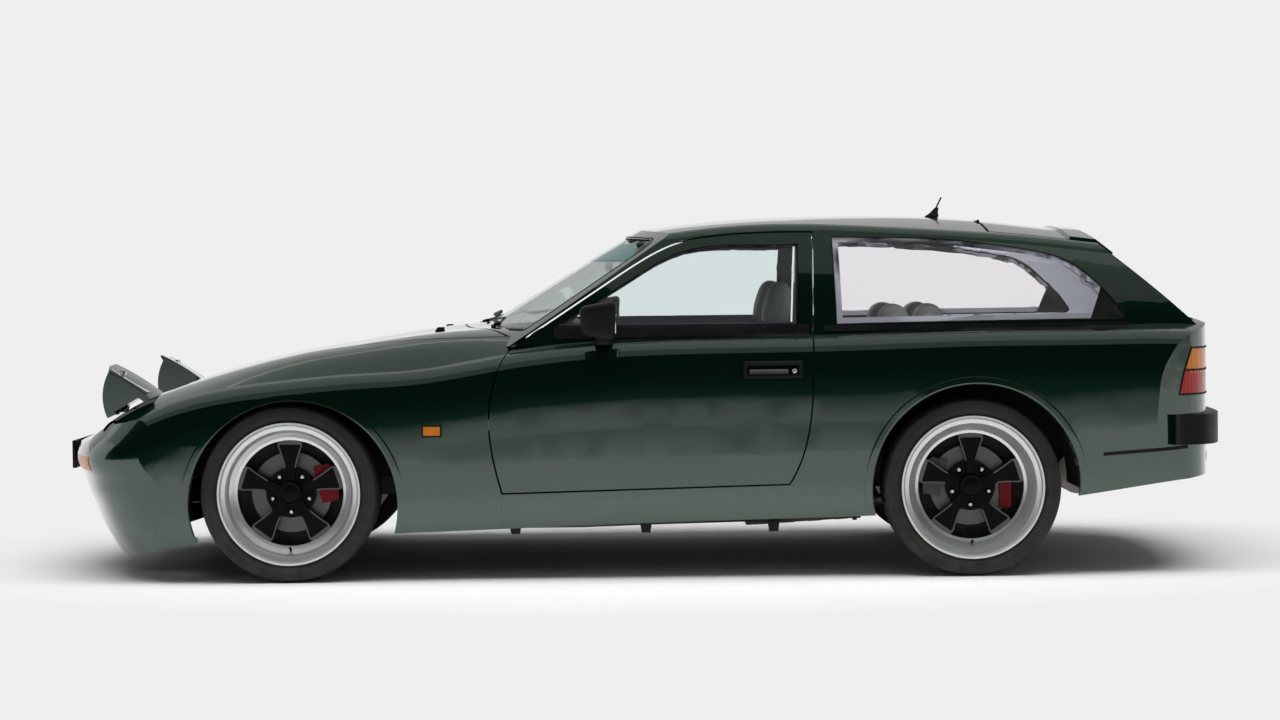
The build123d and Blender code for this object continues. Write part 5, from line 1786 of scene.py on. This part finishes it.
class COUPE_OT_build_console(bpy.types.Operator):
    """Build the console, gear lever, parking brake and pedals"""

    bl_idname = "coupe.build_console"
    bl_label = "Console and pedals"

    def execute(self, context):
        console = slab("centre_console", (-0.290, 0.330), 0, 0.092, (TUNNEL_TOP + 0.001, TUNNEL_TOP + 0.052))
        with picked(console, "FACE", upward):
            resize((1, 0.84, 1))
            inset(0.010)
            move_by((0, 0, -0.006))
        fit(soften(console, 0.005, 3), "cabin_plastic")
        boot = primitive("cone", "gear_boot", vertices=40, radius1=0.058, radius2=0.013, depth=0.075,
                         location=(-0.110, 0, TUNNEL_TOP + 0.082))
        with picked(boot, "EDGE", lambda c, d: abs(d.z) > 0.05):
            bpy.ops.mesh.subdivide(number_cuts=6)
        for z, share in ((0.060, 1.10), (0.080, 0.90), (0.100, 1.12)):
            level = TUNNEL_TOP + z
            with picked(boot, "VERT", lambda co, level=level: abs(co.z - level) < 0.005):
                resize((share, share, 1), about=(-0.110, 0, level))
        modify(boot, "SUBSURF", levels=1, render_levels=1)
        fit(boot, "seat_hide", "car", "seat", 60)
        stick = bar("gear_stick", [(-0.110, 0, TUNNEL_TOP + 0.10), (-0.106, 0, TUNNEL_TOP + 0.178)], 0.006)
        fit(stick, "smoked_metal")
        knob = primitive("uv_sphere", "gear_knob", segments=32, ring_count=20, radius=0.024,
                         location=(-0.104, 0, TUNNEL_TOP + 0.192))
        with picked(knob, "VERT", lambda co: co.z > TUNNEL_TOP + 0.200):
            resize((1, 1, 0.6), about=(-0.104, 0, TUNNEL_TOP + 0.200))
        fit(knob, "seat_hide", "car", "seat")
        grip = smooth_bar("parking_brake", [(x, 0.030, TUNNEL_TOP + rise) for x, rise in
                                            ((0.110, 0.045), (0.135, 0.070), (0.250, 0.082), (0.300, 0.085))],
                          0.012)
        fit(grip, "seat_hide", "car", "seat")
        for name, y in (("clutch", -0.470), ("brake", -0.385), ("throttle", -0.300)):
            arm = smooth_bar(f"{name}_arm", [(-0.635, y, 0.560), (-0.600, y, 0.480), (-0.575, y, 0.330)],
                             0.006)
            fit(arm, "sealed_steel")
            tall = 0.090 if name == "throttle" else 0.055
            pad = slab(f"{name}_pad", (-0.575, -0.560), y, 0.026, (0.325 - tall / 2, 0.325 + tall / 2))
            dish(pad, tailward, 0.005, (-0.002, 0, 0))
            fit(soften(pad, 0.0025), "hose_rubber")
        return {"FINISHED"}


DOOR_LINING_Y = -0.740


class COUPE_OT_line_doors(bpy.types.Operator):
    """Fit arm rests, pockets, pulls and speaker grilles inside the doors"""

    bl_idname = "coupe.line_doors"
    bl_label = "Door linings"

    def execute(self, context):
        inner = DOOR_LINING_Y
        rest = block("door_arm_rest_left", (-0.080, inner + 0.001, 0.545), (0.360, inner + 0.066, 0.610))
        with picked(rest, "FACE", noseward):
            resize((1, 0.6, 0.6), about=(0, inner, 0.600))
        with picked(rest, "FACE", downward):
            resize((1, 0.7, 1), about=(0, inner, 0.5))
        soften(rest, 0.012, 4)
        pocket = block("door_pocket_left", (-0.340, inner + 0.001, 0.335), (0.300, inner + 0.040, 0.440))
        hollow(pocket, upward, 0.006, (0, 0, -0.070))
        soften(pocket, 0.004, 3)
        pull = block("door_release_left", (-0.120, inner + 0.004, 0.648), (-0.020, inner + 0.026, 0.682))
        hollow(pull, rightward, 0.006, (0, -0.010, 0))
        soften(pull, 0.003, 3)
        grille = plug("door_speaker_left", 56, 0.070, 0.012, (0.420, inner + 0.007, 0.420), ALONG_Y)
        with picked(grille, "FACE", rightward):
            for i in range(5):
                inset(0.006)
                move_by((0, -0.003 if i % 2 == 0 else 0.003, 0))
        for piece, finish in ((rest, "seat_hide"), (pocket, "cabin_plastic"), (pull, "smoked_metal"),
                              (grille, "satin_black_trim")):
            fit(piece, finish, "door_left", "cabin_trim")
            mirror_all("door_right", piece)
        return {"FINISHED"}


class COUPE_OT_hang_mirror(bpy.types.Operator):
    """Hang the inside mirror and the sun visors"""

    bl_idname = "coupe.hang_mirror"
    bl_label = "Inside mirror and visors"

    def execute(self, context):
        head = slab("inside_mirror", (-0.122, -0.092), 0, 0.110, (1.072, 1.126))
        with picked(head, "FACE", noseward):
            resize((1, 0.80, 0.62))
        dish(head, tailward, 0.004, (-0.0015, 0, 0))
        fit(soften(head, 0.007, 3), "cabin_plastic")
        glass = slab("inside_mirror_glass", (-0.0945, -0.0925), 0, 0.100, (1.080, 1.118))
        with picked(glass, "FACE", tailward):
            inset(0.001)
        fit(soften(glass, 0.0008), "lamp_mirror", "car", "alloy")
        stem = smooth_bar("inside_mirror_stem", [(-0.112, 0, 1.108), (-0.118, 0, 1.140), (-0.096, 0, 1.164)],
                          0.006)
        fit(stem, "cabin_plastic")
        visor = block("sun_visor_left", (-0.005, -0.480, 1.168), (0.135, -0.130, 1.184))
        with picked(visor, "VERT", lambda co: co.x > 0.1):
            move_by((0, 0, 0.016))
        fit(soften(visor, 0.007, 4), "roof_lining")
        mirror_all("car", visor)
        return {"FINISHED"}


# ------------------------------------------------------------------ glass details
HEATER_LINES = 11
HEATER_HALF = 0.0009
HEATER_TOP_GAP = 0.032
HEATER_SIDE_GAP = 0.060


class COUPE_OT_detail_glass(bpy.types.Operator):
    """Lay the shade band, the quarter window inserts and the heater lines"""

    bl_idname = "coupe.detail_glass"
    bl_label = "Glass details"

    def execute(self, context):
        shade = skin_copy("windscreen", "screen_shade_band", screen_face)
        trim_line(shade, (0, 0, 1.118), (0, 0, -1))
        raise_skin(shade, 0.0012)
        fit(thicken(shade, 0.0008), "shade_band_film", "car", "glass")
        for side, sign in SIDE_SIGN.items():
            insert = skin_copy("rear_side_windows", f"quarter_insert_{side}",
                               lambda c, n, sign=sign: side_face(c, n) and c.y * sign > 0)
            trim_line(insert, (1.603, 0, 0.891), (-0.935, 0, 0.355))
            raise_skin(insert, 0.0016)
            fit(thicken(insert, 0.0014), "satin_black_trim", "car", "black_trim")
        low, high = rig.box("tailgate_glass")
        lines = []
        for i in range(HEATER_LINES):
            z = low.z + HEATER_TOP_GAP + (high.z - low.z - 2 * HEATER_TOP_GAP) * i / (HEATER_LINES - 1)
            strip = skin_copy("tailgate_glass", "line", lambda c, n: n.z > 0.3)
            trim_line(strip, (0, 0, z + HEATER_HALF), (0, 0, 1))
            trim_line(strip, (0, 0, z - HEATER_HALF), (0, 0, -1))
            trim_line(strip, (0, low.y + HEATER_SIDE_GAP, 0), (0, -1, 0))
            trim_line(strip, (0, high.y - HEATER_SIDE_GAP, 0), (0, 1, 0))
            raise_skin(strip, 0.0009)
            lines.append(strip)
        heater = joined(lines, "tailgate_heater_lines")
        fit(thicken(heater, 0.0004), "heater_lines", "tailgate", "black_trim")
        return {"FINISHED"}


class COUPE_OT_fit_wipers(bpy.types.Operator):
    """Fit wiper blades and washer jets"""

    bl_idname = "coupe.fit_wipers"
    bl_label = "Wipers"

    def execute(self, context):
        for number, y in enumerate((-0.300, 0.240), start=1):
            line = chain(f"wiper_blade_{number}",
                         [(-0.62, y + 0.045 * i, 0.905 + 0.004 * i) for i in range(9)])
            modify(line, "SHRINKWRAP", target=NODES["windscreen"], wrap_method="NEAREST_SURFACEPOINT",
                   wrap_mode="ABOVE_SURFACE", offset=0.0052)
            blade = tube(line, 0.0038, 2)
            fit(blade, "window_rubber", "car", "black_trim")
        for side, sign in SIDE_SIGN.items():
            jet = slab(f"washer_jet_{side}", (-0.762, -0.716), sign * 0.26, 0.013, (0.852, 0.880))
            with picked(jet, "FACE", upward):
                resize((0.55, 0.7, 1), about=(-0.716, sign * 0.26, 0.880))
            dish(jet, tailward, 0.004, (-0.003, 0, 0))
            fit(soften(jet, 0.004, 3), "satin_black_trim", "bonnet", "black_trim")
        return {"FINISHED"}


# ------------------------------------------------------------------ mirrors, aerial and calipers
class COUPE_OT_shape_mirrors(bpy.types.Operator):
    """Build rounded mirror housings with their glass and feet"""

    bl_idname = "coupe.shape_mirrors"
    bl_label = "Door mirrors"

    def execute(self, context):
        low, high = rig.box("door_mirror_left")
        housing = block("mirror_housing_left", (low.x + 0.010, low.y + 0.002, low.z + 0.026),
                        (high.x - 0.014, high.y - 0.052, high.z - 0.003))
        with picked(housing, "FACE", noseward):
            resize((1, 0.84, 0.70))
        with picked(housing, "FACE", downward):
            resize((0.88, 0.94, 1))
        soften(housing, 0.022, 5)
        modify(housing, "SUBSURF", levels=1, render_levels=1)
        hollow(housing, lambda c, n: n.x > 0.96 and c.x > high.x - 0.016, 0.006, (-0.008, 0, 0))
        fit(housing, "satin_black_trim", "door_left", "black_trim", 50)
        glass = block("mirror_glass_left", (high.x - 0.022, low.y + 0.032, low.z + 0.052),
                      (high.x - 0.017, high.y - 0.080, high.z - 0.030))
        with picked(glass, "FACE", tailward):
            inset(0.003)
        fit(soften(glass, 0.0018), "lamp_mirror", "door_left", "alloy")
        foot = block("mirror_foot_left", (high.x - 0.098, high.y - 0.100, low.z + 0.004),
                     (high.x - 0.030, high.y - 0.003, low.z + 0.056))
        with picked(foot, "FACE", leftward):
            resize((0.72, 1, 0.8))
        fit(soften(foot, 0.010, 4), "satin_black_trim", "door_left", "black_trim")
        mirror_all("door_right", housing, glass, foot)
        for side in SIDES:
            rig.replaces(bpy.data.objects[f"mirror_housing_{side}"], f"door_mirror_{side}")
        return {"FINISHED"}


class COUPE_OT_foot_aerial(bpy.types.Operator):
    """Build the fin-shaped foot of the roof aerial"""

    bl_idname = "coupe.foot_aerial"
    bl_label = "Aerial foot"

    def execute(self, context):
        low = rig.box("antenna")[0]
        fin = slab("aerial_foot", (low.x - 0.002, low.x + 0.052), 0, 0.017, (low.z + 0.004, low.z + 0.020))
        with picked(fin, "FACE", upward):
            resize((0.55, 0.45, 1), about=(low.x + 0.046, 0, low.z + 0.020))
            extrude_by((0.006, 0, 0.020))
            resize((0.45, 0.6, 1), about=(low.x + 0.050, 0, low.z + 0.040))
        fit(soften(fin, 0.0025, 3), "satin_black_trim", "car", "black_trim")
        return {"FINISHED"}


class COUPE_OT_fit_rear_calipers(bpy.types.Operator):
    """Fit the rear brake calipers on the tail side of the discs"""

    bl_idname = "coupe.fit_rear_calipers"
    bl_label = "Rear calipers"

    def execute(self, context):
        hub = middle("tyre_rear_left")
        face = hub.y + 0.004
        caliper = block("rear_caliper_left", (hub.x + 0.104, face - 0.017, hub.z - 0.082),
                        (hub.x + 0.164, face - 0.001, hub.z + 0.040))
        with picked(caliper, "FACE", lambda c, n: abs(n.z) > 0.9):
            resize((0.72, 1, 1), about=(hub.x + 0.104, 0, 0))
        dish(caliper, leftward, 0.010, (0, 0.003, 0))
        fit(soften(caliper, 0.004, 3), "caliper_enamel", "car", "running_gear")
        mirror_all("car", caliper)
        return {"FINISHED"}


class COUPE_OT_fit_brake_shields(bpy.types.Operator):
    """Fit the pressed dust shields behind the brake discs"""

    bl_idname = "coupe.fit_brake_shields"
    bl_label = "Brake dust shields"

    def execute(self, context):
        for axle, bodies in (("front", ("knuckle_left", "knuckle_right")), ("rear", ("car", "car"))):
            hub = middle(f"tyre_{axle}_left")
            shield = primitive("circle", f"brake_shield_{axle}_left", vertices=72, radius=0.200,
                               location=(hub.x, hub.y + 0.030, hub.z), rotation=ALONG_Y)
            with picked(shield, "EDGE"):
                for inboard, radius_share in ((0.008, 1.0), (0.002, 0.97), (0, 0.773), (-0.004, 0.973),
                                              (0, 0.57)):
                    extrude_edges_by((0, inboard, 0))
                    resize((radius_share, 1, radius_share), about=hub)
            face_outward(shield)
            thicken(shield, 0.0015, 0)
            fit(shield, "sealed_steel", bodies[0], "running_gear")
            mirror_all(bodies[1], shield)
        return {"FINISHED"}


# ------------------------------------------------------------------ engine bay
RUNNER_LINE = ((0.170, 0.570), (0.205, 0.622), (0.262, 0.630), (0.300, 0.600))


class COUPE_OT_dress_engine_bay(bpy.types.Operator):
    """Fit the cam cover, intake, radiator, air box, battery and tank round the engine"""

    bl_idname = "coupe.dress_engine_bay"
    bl_label = "Engine bay"

    def execute(self, context):
        cover = slab("cam_cover", (-1.560, -0.960), 0, 0.105, (0.6495, 0.6540))
        ribbed_face(cover, 1, 13, 0.012, 0.0055)
        fit(soften(cover, 0.001), "smoked_metal", "car", "running_gear")
        cap = plug("oil_cap", 32, 0.028, 0.010, (-1.475, 0.140, 0.655))
        dish(cap, upward, 0.006, (0, 0, -0.003))
        fit(soften(cap, 0.0015), "cabin_plastic", "car", "running_gear")
        runners = [smooth_bar("runner", [(x, y, z) for y, z in RUNNER_LINE], 0.018)
                   for x in (-1.450, -1.330, -1.210, -1.090)]
        plenum = bar("plenum", [(-1.520, 0.305, 0.600), (-1.020, 0.305, 0.600)], 0.032, 6)
        soften(plenum, 0.006, 3)
        fit(joined([plenum, *runners], "intake_manifold"), "cast_metal", "car", "running_gear")
        radiator = slab("radiator", (-1.800, -1.762), 0, 0.300, (0.380, 0.560))
        with picked(radiator, "FACE", lambda c, n: abs(n.x) > 0.9):
            inset(0.022)
            resize((0.7, 1, 1), about=(-1.781, 0, 0.470))
        fit(soften(radiator, 0.003), "satin_black_trim", "car", "running_gear")
        for name, y, high, low in (("top", -0.120, 0.530, 0.600), ("bottom", 0.120, 0.420, 0.480)):
            hose = smooth_bar(f"{name}_hose", [(-1.770, y, high), (-1.715, y, high), (-1.680, y * 0.8, low),
                                               (-1.612, y * 0.8, low)], 0.018)
            fit(hose, "hose_rubber", "car", "running_gear")
        air_box = block("air_box", (-1.725, 0.185, 0.450), (-1.560, 0.322, 0.585))
        hollow(air_box, upward, 0.010, (0, 0, 0.010))
        fit(soften(air_box, 0.006, 3), "cabin_plastic", "car", "running_gear")
        for name, y, top, finish in (("battery", 0.270, 0.652, "cabin_plastic"),
                                     ("coolant_tank", -0.270, 0.640, "tank_plastic")):
            tray = slab(f"{name}_tray", (-0.795, -0.659), y, 0.092, (0.488, 0.494))
            dish(tray, upward, 0.003, (0, 0, -0.003))
            fit(tray, "sealed_steel", "car", "underbody")
            case = slab(name, (-0.785, -0.669), y, 0.082, (0.4945, top))
            hollow(case, upward, 0.012, (0, 0, 0.009))
            fit(soften(case, 0.005, 3), finish, "car", "running_gear")
            posts = [plug("post", 24, 0.009, 0.018, (-0.727, y + shift, top + 0.015))
                     for shift in (-0.050, 0.050)]
            fit(soften(joined(posts, f"{name}_posts"), 0.0015), "smoked_metal", "car", "running_gear")
        return {"FINISHED"}


# ------------------------------------------------------------------ stage
def stage_material(name, level, fade):
    """Pale matt surface; beyond the fade distances it takes the even tone of the air, so no horizon shows."""
    tree, shader = new_material(name, 0.0, 0.9, specular=0.1)
    place = object_place(tree)
    mottle = noise(tree, 0.6, 3.0, place)
    tone = blend_colour(tree, mottle.outputs["Fac"], (level * 0.99,) * 3, (level,) * 3)
    tree.links.new(tone, shader.inputs["Base Color"])
    narrowed = vector_step(tree, "MULTIPLY", place, (0.62, 1.0, 0.0))
    length = vector_step(tree, "LENGTH", narrowed.outputs[0])
    mixed = tree.nodes.new("ShaderNodeMixShader")
    tree.links.new(remap(tree, length.outputs["Value"], *fade, 0.0, 1.0), mixed.inputs[0])
    tree.links.new(shader.outputs[0], mixed.inputs[1])
    tree.links.new(glow_node(tree, level).outputs[0], mixed.inputs[2])
    surface_link(tree, mixed)
    return MATERIALS[name]


CAMERA_X = 0.0047
CAMERA_LENS = 80.92
CAMERA_TIP = math.radians(1.962)
CAMERA_ROLL = math.radians(0.60)


def add_camera(context, settings):
    """Camera square to the left side, tipped down and rolled slightly."""
    data = bpy.data.cameras.new("side_camera")
    data.sensor_width = 36.0
    data.lens = CAMERA_LENS
    data.clip_end = 200.0
    camera = bpy.data.objects.new("side_camera", data)
    context.scene.collection.objects.link(camera)
    camera.location = (CAMERA_X, -settings.camera_distance, settings.camera_height)
    camera.rotation_mode = "QUATERNION"
    facing = Euler((math.pi / 2 - CAMERA_TIP, 0, 0)).to_matrix() @ Matrix.Rotation(-CAMERA_ROLL, 3, "Z")
    camera.rotation_quaternion = facing.to_quaternion()
    context.scene.camera = camera


def add_softbox(name, place, size, power, aim):
    """Rectangular lamp that faces a point."""
    data = bpy.data.lights.new(name, "AREA")
    data.shape = "RECTANGLE"
    data.size, data.size_y = size
    data.energy = power
    lamp = bpy.data.objects.new(name, data)
    bpy.context.scene.collection.objects.link(lamp)
    lamp.location = place
    lamp.rotation_mode = "QUATERNION"
    lamp.rotation_quaternion = (Vector(aim) - Vector(place)).to_track_quat("-Z", "Y")
    for way in ("camera", "glossy", "transmission"):
        setattr(lamp, f"visible_{way}", False)


def flag_material(name, level, foot=None):
    """Even tone of a studio panel; foot gives the share of its height that fades and the tone at its foot."""
    tree, _ = new_material(name)
    glow = glow_node(tree, level)
    if foot:
        height, foot_level = foot
        place = tree.nodes.new("ShaderNodeSeparateXYZ")
        tree.links.new(object_place(tree), place.inputs[0])
        share = remap(tree, place.outputs["Y"], -0.5, height - 0.5, 0.0, 1.0)
        tree.links.new(blend_colour(tree, share, (foot_level,) * 3, (level,) * 3), glow.inputs["Color"])
    surface_link(tree, glow)
    return MATERIALS[name]


def add_flag(name, place, size, turn, material):
    """Panel that only shows in reflections."""
    bpy.ops.mesh.primitive_plane_add(size=1, location=place, rotation=turn)
    flag = bpy.context.object
    flag.name = name
    flag.scale = (*size, 1)
    flag.data.materials.append(material)
    for way in ("camera", "diffuse", "transmission", "shadow", "volume_scatter"):
        setattr(flag, f"visible_{way}", False)
    return flag


def build_world(level, fill):
    """Air that looks pale to the lens, in reflections and through glass, and lights matt surfaces less."""
    world = bpy.data.worlds.new("studio_air")
    bpy.context.scene.world = world
    world.use_nodes = True
    tree = world.node_tree
    seen = tree.nodes.new("ShaderNodeLightPath")
    share = calculate(tree, "MAXIMUM", seen.outputs["Is Camera Ray"], seen.outputs["Is Glossy Ray"])
    share = calculate(tree, "MAXIMUM", share, seen.outputs["Is Transmission Ray"])
    background = tree.nodes["Background"]
    background.inputs["Color"].default_value = (level, level, level, 1)
    tree.links.new(remap(tree, share, 0.0, 1.0, fill, 1.0), background.inputs["Strength"])


LONG_PANEL = (34, 9.0)
END_PANEL = (9, 9.0)


class COUPE_OT_build_stage(bpy.types.Operator):
    """Build the floor, the panels seen in reflections, the air, the lamps and the camera"""

    bl_idname = "coupe.build_stage"
    bl_label = "Studio"

    def execute(self, context):
        settings = context.scene.coupe_stage
        clear_selection()
        bpy.ops.mesh.primitive_plane_add(size=60, location=(0, 0, 0))
        floor = context.object
        floor.name = "studio_floor"
        floor.data.materials.append(stage_material("pale_floor", settings.background, (1.25, 1.95)))
        black = flag_material("black_flag", 0.004, (0.09, 0.75))
        grey = flag_material("grey_flag", 0.22)
        card = flag_material("overhead_grey", 0.45)
        across = (math.pi / 2, 0, math.pi / 2)
        flags = [add_flag("side_flag", (0, -10.5, 4.5), LONG_PANEL, ALONG_Y, black),
                 add_flag("nose_flag", (-13, -6.2, 4.5), END_PANEL, across, black),
                 add_flag("tail_flag", (13, -6.2, 4.5), END_PANEL, across, black),
                 add_flag("high_flag", (0, -7.0, 11.5), LONG_PANEL, (math.radians(35), 0, 0), grey),
                 add_flag("overhead_card", (0, 0.6, 9.0), LONG_PANEL, (0, 0, 0), card),
                 add_flag("back_card", (0, 12.0, 9.5), (34, 13.0), ALONG_Y, card)]
        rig.stage(floor, *flags)
        build_world(settings.background, 0.25)
        add_softbox("overhead_softbox", (0, -1.1, 5.6), (9.0, 3.0), settings.lamp_power, (0, -0.2, 0))
        for side, sign in SIDE_SIGN.items():
            add_softbox(f"window_light_{side}", (1.25, sign * 0.52, 1.06), (1.1, 0.22), 8.0,
                        (1.1, -sign * 0.7, 0.98))
        context.scene.view_settings.view_transform = "Standard"
        add_camera(context, settings)
        return {"FINISHED"}


class COUPE_PT_panel(bpy.types.Panel):
    """Settings and steps of the coupe's looks"""

    bl_label = "Sports coupe"
    bl_idname = "COUPE_PT_panel"
    bl_space_type = "VIEW_3D"
    bl_region_type = "UI"
    bl_category = "Coupe"

    def draw(self, context):
        layout = self.layout
        for group in SETTINGS:
            box = layout.box()
            settings = getattr(context.scene, group)
            for name in settings.__annotations__:
                box.prop(settings, name)
        for operator in STEPS:
            layout.operator(operator.bl_idname)


SETTINGS = {
    "coupe_paint": CoupePaintSettings,
    "coupe_trim": CoupeTrimSettings,
    "coupe_stage": CoupeStageSettings,
}
# The operators above, in the order in which they stand and run.
STEPS = tuple(kind for name, kind in list(globals().items()) if name.startswith("COUPE_OT_"))


def register():
    for name, group in SETTINGS.items():
        bpy.utils.register_class(group)
        setattr(bpy.types.Scene, name, bpy.props.PointerProperty(type=group))
    for step in (*STEPS, COUPE_PT_panel):
        bpy.utils.register_class(step)


def unregister():
    for step in reversed((*STEPS, COUPE_PT_panel)):
        bpy.utils.unregister_class(step)
    for name, group in SETTINGS.items():
        delattr(bpy.types.Scene, name)
        bpy.utils.unregister_class(group)


def main():
    """Runs every step in order and writes the sizes."""
    register()
    build_materials(bpy.context.scene)
    for step in STEPS:
        area, name = step.bl_idname.split(".")
        getattr(getattr(bpy.ops, area), name)()
    sizes = {"cad": [list(corner) for corner in CAD_BOX], "visual": [list(corner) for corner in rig.bounds()]}
    with open("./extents.json", "w") as handle:
        json.dump(sizes, handle)


if __name__ == "__main__":
    main()
